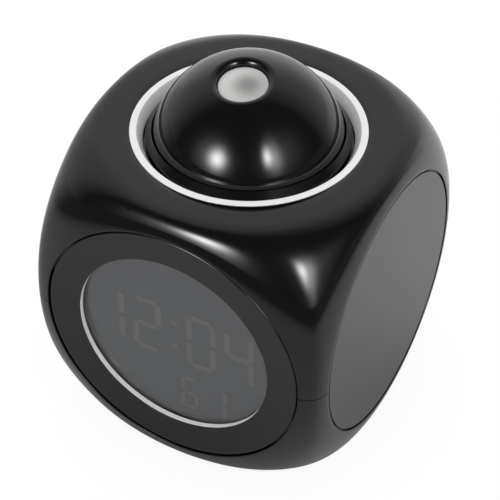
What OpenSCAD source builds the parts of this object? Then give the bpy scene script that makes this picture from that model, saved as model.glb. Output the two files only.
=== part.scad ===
// Projection alarm clock: a cube of 78 mm with ball-rounded corners, a round display in
// front, plain round covers at the sides, and on top a projector ball that swivels and tilts
// in a head that is pressed for snooze and light. +Z is up, the display looks along -Y, and
// the origin is on the table under the middle of the body. Millimetres.

/* [Body] */
// Width of the body from side to side
body_w = 78; // [77:0.5:84]
// Depth of the body from front to back
body_d = 78.4; // [77:0.4:84]
// Height of the body without its feet
body_h = 77.6; // [77:0.4:84]
// Radius of the ball that rounds the eight corners
corner_r = 55.5; // [55:0.25:57]
// Radius of the fillet between a flat face and the corner ball
rim_r = 20.7; // [19.5:0.1:22]
// Radius of the flat in the middle of each face
face_r = 34; // [33.9:0.05:34.5]
// Wall of the two shells
wall = 2.4; // [2.2:0.1:2.8]

/* [Front and covers] */
// Radius of the seat that the front bezel and the rear panel lie in
seat_r = 33.8; // [33:0.1:33.85]
// Radius of the seats of the two side covers
side_seat_r = 33.4; // [32.6:0.1:33.8]
// Depth of the seats below the faces
seat_depth = 1.6; // [1.4:0.1:1.8]
// Width of the ledge that a disc rests on
ledge_w = 2.4; // [2:0.1:3]
// Gap round the discs
seat_gap = 0.3; // [0.2:0.05:0.4]
// How far the side covers lie below the faces
cover_recess = 0.3; // [0.1:0.05:0.5]
// Width of the bezel from its rim to the window
bezel_w = 8.1; // [7:0.1:9]
// How far the bezel slopes inwards from its rim to the window
bezel_dish = 0.7; // [0.3:0.05:1]
// Depth of the white wall between the bezel and the window pane
ring_depth = 1.7; // [1:0.1:2]
// Thickness of the window pane
pane_t = 1; // [0.8:0.1:1.5]

/* [Display] */
// Width of the display glass
lcd_w = 53; // [52:0.5:54]
// Height of the display glass
lcd_h = 52; // [51:0.5:53]
// Thickness of the display glass
lcd_t = 2; // [1.6:0.1:2.4]
// Height of the large numerals
digit_h = 17; // [14:0.5:18]
// Width of the large numerals
digit_w = 8; // [7:0.25:8.5]
// Stroke of the large numerals
digit_stroke = 1.7; // [1.2:0.1:2]
// Height of the small numerals
small_h = 10.6; // [8:0.2:11]
// Width of the small numerals
small_w = 4.8; // [4:0.2:5.4]

/* [Projector head] */
// Outer radius of the white ring round the head
ring_r = 28.2; // [27.8:0.1:28.8]
// Radius of the projector ball
ball_r = 23.3; // [23:0.05:23.4]
// Depth of the ball's centre below the top face
ball_drop = 5.7; // [5.2:0.1:6.2]
// Wall of the ball
ball_wall = 1.6; // [1.2:0.1:2]
// Outer radius of the collar that frames the ball
collar_r = 24.4; // [24.3:0.05:24.6]
// Depth of the collar's lip below the top face, beside the ball
collar_drop = 0.15; // [0.1:0.05:0.5]
// Fall of the collar's lip from the ball outwards
collar_fall = 1.5; // [1:0.1:2]
// Travel of the head when it is pressed
press_travel = 1.5; // [1:0.1:2]
// Tilt of the ball at rest, towards its front
head_tilt = 8.7; // [0:0.1:12]
// Turn of the ball at rest
head_turn = 2.2; // [-30:0.1:30]
// Radius of the projector lens
lens_r = 5.8; // [5:0.1:6]
// Distance from the ball's centre to the face of the lens
lens_out = 20.6; // [19:0.1:20.8]
// Radius of the two pins that the ball tilts on
pin_r = 1; // [0.8:0.05:1]

/* [Rear and base] */
// Radius of the push buttons
button_r = 3; // [2.5:0.1:3.4]
// Travel of the push buttons
button_travel = 0.7; // [0.4:0.1:1]
// Distance between the push buttons
button_pitch = 9.5; // [8:0.25:10]
// Travel of the projection switch
switch_travel = 4; // [3:0.25:5]
// Radius of the speaker holes
hole_r = 0.9; // [0.6:0.05:1.1]
// Distance between the speaker holes
hole_pitch = 3.2; // [2.8:0.1:3.5]
// Radius of the loudspeaker
speaker_r = 14; // [12:0.5:14.5]
// Length of the battery bay
bay_w = 52.4; // [51.6:0.2:54]
// Width of the battery bay
bay_d = 35.4; // [34.6:0.2:36]
// Thickness of the battery door
door_t = 1.9; // [1.6:0.1:2]
// Radius of a battery cell
cell_r = 5.2; // [5:0.05:5.25]
// Length of a battery cell with its nub
cell_l = 44.5; // [43:0.5:45]
// Radius of the feet
foot_r = 3.2; // [3:0.1:3.4]
// How far the feet stand out of the base
foot_h = 0.6; // [0.4:0.1:1]

/* [Fixings] */
// Distance of the case screws from the front and rear faces
screw_inset = 13.2; // [12.8:0.1:13.6]
// Radius of the case screws
screw_r = 1.3; // [1.1:0.05:1.5]
// Radius of the screw posts
post_r = 2.8; // [2.6:0.05:2.9]
// Thickness of the circuit boards
board_t = 1.4; // [1:0.1:1.6]

/* [Hidden] */
$fn = 96;
eps = 0.01;
run_gap = 0.05;
slip_gap = 0.3;
big = 200;

base_z = foot_h;
mid_z = foot_h + body_h / 2;
top_z = foot_h + body_h;
split_z = mid_z - 0.4;
front_y = -body_d / 2;
rear_y = body_d / 2;
inner_top_z = top_z - wall;
floor_z = base_z + wall;
ledge_r = seat_r - ledge_w;
window_r = seat_r - seat_gap - bezel_w;
side_ledge_r = side_seat_r - ledge_w;

// Display stack, each depth counted from the front face
rim_back = 1.05;
ring_back = rim_back + ring_depth;
pane_back = ring_back + pane_t;
glass_front = pane_back + 0.25;
glass_back = glass_front + lcd_t;
light_t = 1.4;
strip_w = 2.4;
chip_t = 2;
chip_edge = 4.8;
chip_y = -9;
cap_w = 2;
cap_h = 3.2;
cap_pitch = 3.5;
crystal_r = 1.1;
light_back = glass_back + light_t;
board_front = light_back + 0.9;
board_back = board_front + board_t;
pane_r = window_r + 1.6;
barrel_r = ledge_r - 0.5;
numeral_t = 0.12;
digit_base = -7.2;
small_base = -22;

// Head
ball_z = top_z - ball_drop;
lip_gap = 0.25;
lip_in = sqrt(pow(ball_r + lip_gap, 2) - pow(ball_drop - collar_drop, 2)) + 0.1;
lip_z = top_z - collar_drop;
web_z = ball_z + pin_r + run_gap + 0.75;
web_t = 0.7;
skirt_r = collar_r + 2.4;
skirt_t = 1.4;
skirt_in = skirt_r - skirt_t;
head_drop = 12.7;
head_base_top = ball_z - head_drop;
head_base_t = 1.6;
head_base_z = head_base_top - head_base_t;
swivel_r = skirt_in - 0.8;
swivel_in = ball_r + slip_gap;
swivel_top = ball_z - 6.5;
ear_w = 5;
ring_bore = collar_r + 0.6;
ring_flange_r = ring_r + 2.2;
ring_step_z = web_z + web_t + 0.2;
funnel_r = ring_r - 1.7;
ball_split = -4;
ball_cut = -13;
lens_hole_r = lens_r + 0.5;
tube_r = lens_hole_r - 0.1;
tube_top = lens_out + 0.1;
housing_r = 8.4;
flange_z = 6.4;
flange_t = 1.6;
tab_x = 11.5;
tab_r = 2.6;
tiny_r = 0.9;
tiny_l = 7;
lens_t = 2.6;
condenser_z = 1.6;
condenser_t = 2.2;
film_w = 10.4;
film_h = 7.6;
film_t = 1.1;
lamp_r = 2.5;
lamp_l = 3.2;
lamp_z = -2;
lens_crown = 0.6;
lens_ball = 28;
rail_h = 2;
peg_l = 2.5;
plunger_r = 1.6;
screw_y = body_d - 2 * screw_inset;
post_gap = 0.42;
screw_x = 2 * sqrt(pow(skirt_r + post_r + post_gap, 2) - pow(screw_y / 2, 2));
board_top = head_base_z - mid_z - 1.2;
part_row = board_top / 2;

// Inner frame, springs and snooze switch
frame_t = 2;
frame_w = 54;
frame_front = front_y + board_back + 0.6;
frame_hole_r = 14;
frame_z = split_z - frame_t;
tower_r = 2.7;
tower_ring = 23.3;
tower_h = 7.6;
tower_z = split_z + tower_h;
spring_r = 2;
spring_wire = 0.25;
plunger_gap = press_travel + 0.1;
snooze_h = 5;
stem_h = 1.8;
plunger_l = 3.2;
plunger_z = head_base_z - plunger_l;
snooze_z = plunger_z - plunger_gap - snooze_h;

// Rear
button_z = 13;
button_head = 0.9;
switch_x = 14;
switch_z = -1;
jack_x = -14;
jack_r = 3.1;
jack_hole_r = 2.75;
jack_l = 9;
jack_pin_r = 0.65;
jack_box = 8;
speaker_z = speaker_r + 0.4 - ledge_r;
speaker_h = 5;
magnet_r = 8.7;
cone_t = 1.6;
rear_board_gap = 5.2;
rear_board_z = -rear_board_gap - seat_depth;
rear_board_edge = 6;
rear_board_w = 4 * button_pitch + 2 * rear_board_edge;
rear_board_low = switch_z - 5;
rear_board_h = button_z + 4 - rear_board_low;
tact_w = 6;
tact_h = 3.4;
stem_gap = button_travel + 0.05;
button_back = rear_board_z + tact_h + stem_gap;
frame_rear = rear_y + rear_board_z - board_t - 2.1;

// Base
bay_h = 12.4;
bay_wall = 1.4;
door_gap = 0.3;
hinge_r = door_t / 2 + 0.15;
hinge_y = -bay_d / 2 + door_gap + hinge_r;
hinge_z = base_z + 0.2 + hinge_r;
hinge_pin_r = 0.6;
hinge_pin_l = 1.6;
cell_pitch = bay_d / 3 - 0.4;
cell_z = hinge_z + door_t / 2 + 0.6 + cell_r;
plate_t = 0.4;
plate_h = 8;
plate_gap = 1.5;
cell_wire = 0.3;
coil_tip_r = 1.4;
coil_foot_r = 3.2;
nub_r = 1.9;
nub_l = 1;
battery_spring_l = bay_w - 2 * plate_t - cell_l - run_gap;
wide_screw_r = 2.6;
pilot_gap = 0.05;
screw_head_t = 1.6;
screw_seat_z = frame_z - 6;
screw_grip = 14;
screw_l = frame_t + screw_grip;

// ---- Places and frames ----

// Local +Z points out of the named face, from the middle of that face
module on_front() { translate([0, front_y, mid_z]) rotate([90, 0, 0]) children(); }
module on_rear() { translate([0, rear_y, mid_z]) rotate([90, 0, 180]) children(); }
module on_right() { translate([body_w / 2, 0, mid_z]) rotate([90, 0, 90]) children(); }
module on_left() { translate([-body_w / 2, 0, mid_z]) rotate([90, 0, -90]) children(); }

// The ball's own frame: its centre, with +Z through the lens
module in_ball() {
    translate([0, 0, ball_z]) rotate([0, 0, head_turn]) rotate([head_tilt, 0, 0]) children();
}
module in_swivel() { translate([0, 0, ball_z]) rotate([0, 0, head_turn]) children(); }

module at_screws() {
    for (x = [-screw_x / 2, screw_x / 2], y = [-screw_y / 2, screw_y / 2])
        translate([x, y, 0]) children();
}
module at_springs() {
    for (a = [45:90:315]) rotate([0, 0, a]) translate([tower_ring, 0, 0]) children();
}
module at_buttons() {
    for (i = [-2:2]) translate([i * button_pitch, button_z, 0]) children();
}
module at_cells() {
    for (i = [-1:1])
        translate([0, i * cell_pitch, cell_z]) rotate([0, 90, i == 0 ? 180 : 0]) children();
}
module disc(r, z0, z1) { translate([0, 0, z0]) cylinder(r = r, h = z1 - z0); }
module pipe(r, bore, z0, z1) {
    difference() {
        disc(r, z0, z1);
        disc(bore, z0 - 1, z1 + 1);
    }
}

// ---- Body form ----

// Centre of the rim fillet for a face at distance h: it passes through the flat's edge and
// touches the corner ball
function fillet_centre(h) =
    let (d = norm([face_r, h]),
         a = (d * d + pow(corner_r - rim_r, 2) - rim_r * rim_r) / (2 * d),
         s = sqrt(pow(corner_r - rim_r, 2) - a * a))
    [(face_r * a + h * s) / d, (h * a - face_r * s) / d];

// What lies outside the fillet of one face, as a ring round the face's axis. Its foot stays
// clear of the body, where the fillets of the other faces have already taken the corner off
module rim_cutter(h, off) {
    c = fillet_centre(h);
    r = rim_r - off;
    rotate_extrude() difference() {
        translate([c[0], c[1] + 0.345 * r]) square([corner_r, corner_r]);
        translate(c) circle(r = r);
    }
}
module body_form(off) {
    translate([0, 0, mid_z]) difference() {
        cube([body_w - 2 * off, body_d - 2 * off, body_h - 2 * off], center = true);
        for (side = [0, 180]) {
            rotate([side, 0, 0]) rim_cutter(body_h / 2, off);
            rotate([side + 90, 0, 0]) rim_cutter(body_d / 2, off);
            rotate([0, side + 90, 0]) rim_cutter(body_w / 2, off);
        }
    }
}
module seat_cut(r, bore) {
    disc(r, -seat_depth, 1);
    disc(bore, -wall - 1, 1);
}
module body_shell() {
    difference() {
        body_form(0);
        body_form(wall);
        disc(ring_r, inner_top_z - 1, top_z + 1);
        on_front() seat_cut(seat_r, ledge_r);
        on_rear() seat_cut(seat_r, ledge_r);
        on_right() seat_cut(side_seat_r, side_ledge_r);
        on_left() seat_cut(side_seat_r, side_ledge_r);
        translate([-bay_w / 2, -bay_d / 2, base_z - 1]) cube([bay_w, bay_d, wall + 2]);
    }
}

// ---- Shells ----

module upper_shell() color("#151515") {
    difference() {
        union() {
            intersection() {
                body_shell();
                translate([-big / 2, -big / 2, split_z]) cube([big, big, big]);
            }
            at_screws() disc(post_r, split_z, inner_top_z);
        }
        at_screws() disc(screw_r + pilot_gap, split_z - 1, split_z + screw_l);
    }
}

module lower_shell() color("#151515") {
    difference() {
        union() {
            intersection() {
                body_shell();
                translate([-big / 2, -big / 2, split_z - big]) cube([big, big, big]);
            }
            at_screws() disc(post_r + 0.4, base_z, frame_z);
            difference() {
                translate([-bay_w / 2 - bay_wall, -bay_d / 2 - bay_wall, floor_z - 1])
                    cube([bay_w + 2 * bay_wall, bay_d + 2 * bay_wall, bay_h + bay_wall + 1]);
                translate([-bay_w / 2, -bay_d / 2, floor_z - 2])
                    cube([bay_w, bay_d, bay_h + 2]);
            }
        }
        at_screws() disc(screw_r + 0.15, base_z - 1, frame_z + 1);
        at_screws() disc(wide_screw_r, base_z - 1, screw_seat_z);
        at_screws() disc(foot_r, base_z - 1, base_z + 1);
        translate([0, hinge_y, hinge_z]) rotate([0, 90, 0])
            cylinder(r = hinge_pin_r + run_gap, h = bay_w + 2 * hinge_pin_l, center = true);
    }
}

module inner_frame() color("#2a2a2a") {
    difference() {
        union() {
            translate([-frame_w / 2, frame_front, frame_z])
                cube([frame_w, frame_rear - frame_front, frame_t]);
            at_springs() disc(tower_r, frame_z, tower_z);
            translate([tower_ring, 0, 0]) disc(tower_r, frame_z, snooze_z);
        }
        at_screws() disc(screw_r + 0.15, frame_z - 1, split_z + 1);
        disc(frame_hole_r, frame_z - 1, split_z + 1);
    }
}

module case_screws() color("#b8b8b8") {
    at_screws() {
        disc(screw_r, screw_seat_z - eps, screw_seat_z + screw_l);
        disc(wide_screw_r - 0.2, screw_seat_z - screw_head_t, screw_seat_z);
    }
}

module feet() color("#222222") {
    at_screws() disc(foot_r - 0.05, 0, base_z + 1);
}

// ---- Front ----

module front_bezel() color("#2b2b2b") {
    outer = seat_r - seat_gap;
    lip = bezel_dish + 0.15;
    on_front() rotate_extrude() polygon([
        [window_r, -rim_back], [window_r, -lip], [outer, -0.15], [outer, -seat_depth],
        [barrel_r, -seat_depth], [barrel_r, -pane_back], [pane_r + 0.1, -pane_back],
        [pane_r + 0.1, -rim_back]
    ]);
}

module display_ring() color("#e4e4e2") {
    on_front() pipe(pane_r, window_r, -ring_back, -rim_back);
}
module display_window() color("#5c5d5f") {
    on_front() disc(pane_r, -pane_back, -ring_back);
}
module display_glass() color("#3a3b3d") {
    on_front() translate([-lcd_w / 2, -lcd_h / 2, -glass_back]) cube([lcd_w, lcd_h, lcd_t]);
}

// Seven strokes: top, upper right, lower right, bottom, lower left, upper left, middle
STROKES = [
    [1, 1, 1, 1, 1, 1, 0], [0, 1, 1, 0, 0, 0, 0], [1, 1, 0, 1, 1, 0, 1],
    [1, 1, 1, 1, 0, 0, 1], [0, 1, 1, 0, 0, 1, 1], [1, 0, 1, 1, 0, 1, 1],
    [1, 0, 1, 1, 1, 1, 1], [1, 1, 1, 0, 0, 0, 0], [1, 1, 1, 1, 1, 1, 1],
    [1, 1, 1, 1, 0, 1, 1]
];
module stroke(l, s) {
    polygon([[0.15 * s, 0], [s / 2, s / 2], [l - s / 2, s / 2], [l - 0.15 * s, 0],
             [l - s / 2, -s / 2], [s / 2, -s / 2]]);
}
module numeral(n, w, h, s) {
    half = (h - s) / 2;
    run = w - s;
    on = STROKES[n];
    translate([s / 2, s / 2]) {
        if (on[0]) translate([0, 2 * half]) stroke(run, s);
        if (on[1]) translate([run, half]) rotate(90) stroke(half, s);
        if (on[2]) translate([run, 0]) rotate(90) stroke(half, s);
        if (on[3]) stroke(run, s);
        if (on[4]) rotate(90) stroke(half, s);
        if (on[5]) translate([0, half]) rotate(90) stroke(half, s);
        if (on[6]) translate([0, half]) stroke(run, s);
    }
}
module display_numerals() color("#6f6f6e") {
    gap = 2.2;
    colon_x = -0.5;
    starts = [
        colon_x - 3.5 - 2 * digit_w - gap, colon_x - 3.5 - digit_w,
        colon_x + 3.1, colon_x + 3.1 + digit_w + gap
    ];
    time = [1, 2, 0, 4];
    on_front() translate([0, 0, -glass_front]) linear_extrude(numeral_t) {
        for (i = [0:3]) translate([starts[i], digit_base])
            numeral(time[i], digit_w, digit_h, digit_stroke);
        for (y = [0.28, 0.72]) translate([colon_x, digit_base + y * digit_h])
            square(digit_stroke, center = true);
        translate([0.9, small_base]) numeral(6, small_w, small_h, 1.1);
        translate([8.7, small_base]) numeral(1, small_w, small_h, 1.1);
    }
}

module backlight() color("#dfe6ea") {
    on_front() translate([-lcd_w / 2, -lcd_h / 2 + strip_w + 0.6, -light_back])
        cube([lcd_w, lcd_h - 2 * strip_w - 1.2, light_t]);
}
module contact_strip() color("#4a3a3a") {
    on_front() translate([-lcd_w / 2, 0.2 - lcd_h / 2, -board_front])
        cube([lcd_w, strip_w, board_front - glass_back]);
}
module main_board() color("#2f6b3a") {
    on_front() translate([-lcd_w / 2, -lcd_h / 2, -board_back])
        cube([lcd_w, board_top + lcd_h / 2, board_t]);
}
module board_parts() color("#1c1c1c") {
    on_front() translate([0, 0, -board_back]) {
        translate([0, chip_y, 0]) intersection() {
            chip_ball = (chip_edge * chip_edge + chip_t * chip_t) / (2 * chip_t);
            translate([0, 0, chip_ball - chip_t]) sphere(r = chip_ball);
            translate([0, 0, -chip_t]) cylinder(r = chip_edge + 1, h = chip_t);
        }
        translate([1.5 * cap_pitch, part_row, -chip_t]) cylinder(r = crystal_r, h = chip_t);
        for (i = [-2:0]) translate([i * cap_pitch - cap_w / 2, part_row, -chip_t / 2])
            cube([cap_w, cap_h, chip_t / 2]);
    }
}

// ---- Sides ----

module side_cover() {
    disc(side_seat_r - seat_gap, -seat_depth, -cover_recess);
    pipe(side_ledge_r - 0.3, side_ledge_r - 1.7, -wall - 0.6, -seat_depth);
}
module right_cover() color("#2e2e2e") on_right() side_cover();
module left_cover() color("#2e2e2e") on_left() side_cover();

// ---- Rear ----

module speaker_holes() {
    for (i = [-3:3], j = [-3:3])
        if (norm([i + j / 2, j * sqrt(3) / 2]) < 3.1)
            translate([(i + j / 2) * hole_pitch, speaker_z + j * sqrt(3) / 2 * hole_pitch,
                       -wall - 2])
                cylinder(r = hole_r, h = wall + 4);
}
module rear_panel() color("#2b2b2b") {
    slot = [switch_travel + 3.2, 3.2];
    on_rear() difference() {
        union() {
            disc(seat_r - seat_gap, -seat_depth, -cover_recess);
            pipe(ledge_r - 0.3, ledge_r - 1.7, -wall - 0.6, -seat_depth);
        }
        at_buttons() disc(button_r + slip_gap, -wall - 2, 1);
        translate([switch_x - slot[0] / 2, switch_z - slot[1] / 2, -wall - 2])
            cube([slot[0], slot[1], wall + 4]);
        translate([jack_x, switch_z, 0]) disc(jack_r + 0.1, -wall - 2, 1);
        speaker_holes();
    }
}
module button_board() color("#2f6b3a") {
    on_rear() difference() {
        translate([-rear_board_w / 2, rear_board_low, rear_board_z - board_t])
            cube([rear_board_w, rear_board_h, board_t]);
        translate([jack_x - jack_box / 2 - 0.2, rear_board_low - 1,
                   rear_board_z - board_t - 1])
            cube([jack_box + 0.4, switch_z + jack_box / 2 + 1.2 - rear_board_low,
                  board_t + 2]);
    }
}
module tact_switches() color("#c9c9c4") {
    on_rear() at_buttons() {
        translate([-tact_w / 2, -tact_w / 2, rear_board_z]) cube([tact_w, tact_w, tact_h - 1.4]);
        disc(1.6, rear_board_z + tact_h - 1.5, rear_board_z + tact_h);
    }
}
module button(i) {
    on_rear() translate([i * button_pitch, button_z, 0]) {
        disc(button_r, button_back, button_head - cover_recess - 0.6);
        disc(button_r + 0.9, -seat_depth - 0.8, -seat_depth - 0.1);
    }
}
module button_mode() color("#3a3a3a") button(2);
module button_set() color("#3a3a3a") button(1);
module button_up() color("#3a3a3a") button(0);
module button_down() color("#3a3a3a") button(-1);
module button_alarm() color("#3a3a3a") button(-2);

module switch_housing() color("#b9bcc0") {
    on_rear() translate([switch_x - 5, switch_z - 2.4, rear_board_z])
        difference() {
            cube([10, 4.8, 3.6]);
            translate([5 - switch_travel / 2 - 1.2, 1.4, 1.2])
                cube([switch_travel + 2.4, 2, 3.6]);
        }
}
module switch_knob() color("#3a3a3a") {
    on_rear() translate([switch_x - switch_travel / 2, switch_z, 0]) {
        translate([-1, -0.9, rear_board_z + 1.5]) cube([2, 1.8, 3]);
        translate([-1.3, -1.3, rear_board_z + 4])
            cube([2.6, 2.6, -rear_board_z - 4 - 0.4]);
    }
}
module dc_jack() color("#1a1a1a") {
    on_rear() translate([jack_x, switch_z, 0]) {
        difference() {
            union() {
                disc(jack_r, -jack_l, -cover_recess - 0.1);
                translate([-jack_box / 2, -jack_box / 2, -jack_l])
                    cube([jack_box, jack_box, jack_l - seat_depth - 1.2]);
            }
            disc(jack_hole_r, -jack_l + 1.5, 1);
        }
        disc(jack_pin_r, -jack_l + 1.4, -2);
    }
}
module speaker() color("#55585c") {
    on_rear() translate([0, speaker_z, -wall - 0.9 - speaker_h]) {
        disc(speaker_r, speaker_h - cone_t, speaker_h);
        disc(magnet_r, 0, speaker_h - cone_t);
    }
}

// ---- Base ----

module battery_door() color("#151515") {
    difference() {
        union() {
            translate([-bay_w / 2 + door_gap, hinge_y, hinge_z - door_t / 2])
                cube([bay_w - 2 * door_gap, bay_d / 2 - door_gap - hinge_y, door_t]);
            translate([0, hinge_y, hinge_z]) rotate([0, 90, 0])
                cylinder(r = hinge_r, h = bay_w - 2 * door_gap, center = true);
            translate([0, hinge_y, hinge_z]) rotate([0, 90, 0])
                cylinder(r = hinge_pin_r, h = bay_w + 2 * hinge_pin_l - 0.4, center = true);
        }
        for (i = [0:4]) translate([-8, bay_d / 2 - 4 - 1.4 * i, hinge_z - door_t / 2 - 0.6])
            cube([16, 0.7, 1]);
    }
}
module batteries() color("#2e7d4f") {
    at_cells() translate([0, 0, plate_t - bay_w / 2]) {
        translate([0, 0, nub_l]) cylinder(r = cell_r, h = cell_l - nub_l);
        cylinder(r = nub_r, h = cell_l - nub_l);
    }
}
module battery_plates() color("#c8ccd0") {
    for (i = [-1:1], side = [-1, 1])
        translate([side * (bay_w / 2 - plate_t / 2), i * cell_pitch, cell_z])
            cube([plate_t, cell_pitch - plate_gap, plate_h], center = true);
}

// Points of a coil, one ring of sides for each step, swept into one closed solid
module coil(turns, r0, r1, height, wire, steps, sides) {
    n = turns * steps;
    points = [
        for (i = [0:n]) let (a = 360 * i / steps, r = r0 + (r1 - r0) * i / n)
            for (k = [0:sides - 1]) let (b = 360 * k / sides)
                [(r + wire * cos(b)) * cos(a), (r + wire * cos(b)) * sin(a),
                 wire + (height - 2 * wire) * i / n + wire * sin(b)]
    ];
    faces = [
        [for (k = [0:sides - 1]) k],
        for (i = [0:n - 1], k = [0:sides - 1]) let (m = (k + 1) % sides)
            [i * sides + k, (i + 1) * sides + k, (i + 1) * sides + m, i * sides + m],
        [for (k = [sides - 1:-1:0]) n * sides + k]
    ];
    polyhedron(points, faces);
}
module battery_springs() color("#c8ccd0") {
    at_cells() translate([0, 0, bay_w / 2 - plate_t - battery_spring_l])
        coil(3, coil_tip_r, coil_foot_r, battery_spring_l, cell_wire, 12, 5);
}

// ---- Head ----

module light_ring() color("#ececec") {
    difference() {
        rotate_extrude() polygon([
            [funnel_r, top_z], [ring_r - 0.05, top_z], [ring_r - 0.05, inner_top_z - 0.05],
            [ring_flange_r, inner_top_z - 0.05], [ring_flange_r, ring_step_z],
            [ring_bore, ring_step_z], [ring_bore, top_z - 2.4]
        ]);
        at_screws() disc(post_r + 0.3, ring_step_z - 1, inner_top_z + 0.05);
    }
}
module collar() color("#202020") {
    difference() {
        rotate_extrude() polygon([
            [0, lip_z], [lip_in, lip_z], [collar_r, lip_z - collar_fall],
            [collar_r, web_z + web_t],
            [skirt_r, web_z + web_t], [skirt_r, head_base_top], [skirt_in, head_base_top],
            [skirt_in, web_z], [0, web_z]
        ]);
        translate([0, 0, ball_z]) sphere(r = ball_r + lip_gap, $fn = 120);
    }
}
module head_base() color("#202020") {
    disc_in = sqrt(pow(ball_r + slip_gap, 2) - pow(ball_z - head_base_top, 2)) + 0.6;
    pipe(skirt_r, disc_in, head_base_z, head_base_top);
    pipe(skirt_in - run_gap, swivel_r + 0.15, head_base_top - eps, head_base_top + rail_h);
    at_springs() disc(spring_r - spring_wire - 0.25, head_base_z - peg_l, head_base_z + eps);
    translate([tower_ring, 0, 0]) disc(plunger_r, plunger_z, head_base_z + eps);
}
module swivel_ring() color("#303030") {
    ring_z = head_base_top - ball_z + 0.1;
    top = pin_r + run_gap + 0.55;
    in_swivel() difference() {
        union() {
            disc(swivel_r, ring_z, swivel_top - ball_z);
            intersection() {
                disc(swivel_r, ring_z, top);
                cube([big, ear_w, big], center = true);
            }
        }
        sphere(r = swivel_in, $fn = 120);
        rotate([0, 90, 0]) cylinder(r = pin_r + run_gap, h = big, center = true);
    }
}
module head_springs() color("#c8ccd0") {
    at_springs() translate([0, 0, tower_z])
        coil(5, spring_r, spring_r, head_base_z - tower_z, spring_wire, 14, 5);
}
module snooze_switch() color("#c9c9c4") {
    translate([tower_ring, 0, snooze_z]) {
        translate([-tact_w / 2, -tact_w / 2, 0]) cube([tact_w, tact_w, snooze_h - stem_h]);
        disc(1.7, snooze_h - stem_h - eps, snooze_h);
    }
}

// ---- Ball ----

module ball_half(z0, z1) {
    intersection() {
        difference() {
            sphere(r = ball_r, $fn = 120);
            sphere(r = ball_r - ball_wall, $fn = 120);
        }
        disc(big / 2, z0, z1);
    }
}
module ball_cap() color("#121212") {
    in_ball() difference() {
        union() {
            ball_half(ball_split, big / 2);
            for (x = [-tab_x, tab_x]) intersection() {
                sphere(r = ball_r - ball_wall / 2, $fn = 120);
                translate([x, 0, 0]) disc(2.2, flange_z + flange_t, ball_r);
            }
        }
        disc(lens_hole_r, 0, ball_r + 1);
        for (x = [-tab_x, tab_x]) translate([x, 0, 0])
            disc(tiny_r + pilot_gap, flange_z, flange_z + tiny_l + 1);
        rotate([0, 90, 0]) cylinder(r = pin_r + run_gap, h = big, center = true);
    }
}
module ball_skirt() color("#121212") { in_ball() ball_half(ball_cut, ball_split); }
module tilt_pins() color("#c8ccd0") {
    in_ball() for (side = [-90, 90]) rotate([0, side, 0]) {
        disc(pin_r, ball_r - ball_wall - 1.2, swivel_r - 0.1);
        disc(pin_r + 0.8, ball_r - ball_wall - 1.2, ball_r - ball_wall - 0.2);
    }
}
module lens_tube() color("#101010") {
    in_ball() difference() {
        union() {
            disc(housing_r, lamp_z, flange_z + flange_t);
            disc(tube_r, flange_z, tube_top);
            for (x = [-tab_x, tab_x]) translate([x, 0, 0])
                disc(tab_r, flange_z, flange_z + flange_t);
            translate([-tab_x, -2, flange_z]) cube([2 * tab_x, 4, flange_t]);
        }
        disc(lens_r - 0.8, lamp_z - 1, tube_top + 1);
        disc(lens_r + 0.05, lens_out - lens_t, tube_top + 1);
        disc(housing_r - 1, lamp_z - 1, flange_z - 0.4);
        for (x = [-tab_x, tab_x]) translate([x, 0, 0])
            disc(tiny_r + 0.15, flange_z - 1, flange_z + flange_t + 1);
    }
}
module projector_lens() color("#d8d7d5") {
    in_ball() {
        disc(lens_r, lens_out - lens_t, lens_out);
        translate([0, 0, lens_out - eps]) intersection() {
            cylinder(r = lens_r - 0.05, h = 2 * lens_crown);
            translate([0, 0, lens_crown - lens_ball]) sphere(r = lens_ball, $fn = 120);
        }
    }
}
module condenser_lens() color("#dfe6ea") {
    in_ball() disc(housing_r - 1 - run_gap, condenser_z, condenser_z + condenser_t);
}
module number_film() color("#8a2f2a") {
    in_ball() translate([-film_w / 2, -film_h / 2, condenser_z + condenser_t + 0.5])
        cube([film_w, film_h, film_t]);
}
module projector_lamp() color("#b02020") {
    in_ball() {
        disc(lamp_r + 0.4, lamp_z, lamp_z + 1);
        disc(lamp_r, lamp_z + 1 - eps, lamp_z + lamp_l);
    }
}
module lamp_board() color("#2f6b3a") { in_ball() disc(housing_r, lamp_z - board_t, lamp_z); }
module tube_screws() color("#b8b8b8") {
    in_ball() for (x = [-tab_x, tab_x]) translate([x, 0, 0]) {
        disc(tiny_r, flange_z - eps, flange_z + tiny_l);
        disc(2 * tiny_r, flange_z - 1.2, flange_z);
    }
}

upper_shell();
lower_shell();
inner_frame();
light_ring();
front_bezel();
display_ring();
display_window();
display_glass();
display_numerals();
backlight();
contact_strip();
main_board();
board_parts();
right_cover();
left_cover();
rear_panel();
button_board();
tact_switches();
button_mode();
button_set();
button_up();
button_down();
button_alarm();
switch_housing();
switch_knob();
dc_jack();
speaker();
battery_door();
batteries();
battery_springs();
battery_plates();
feet();
case_screws();
snooze_switch();
collar();
head_base();
head_springs();
swivel_ring();
ball_cap();
ball_skirt();
tilt_pins();
lens_tube();
projector_lens();
condenser_lens();
number_film();
projector_lamp();
lamp_board();
tube_screws();
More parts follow.
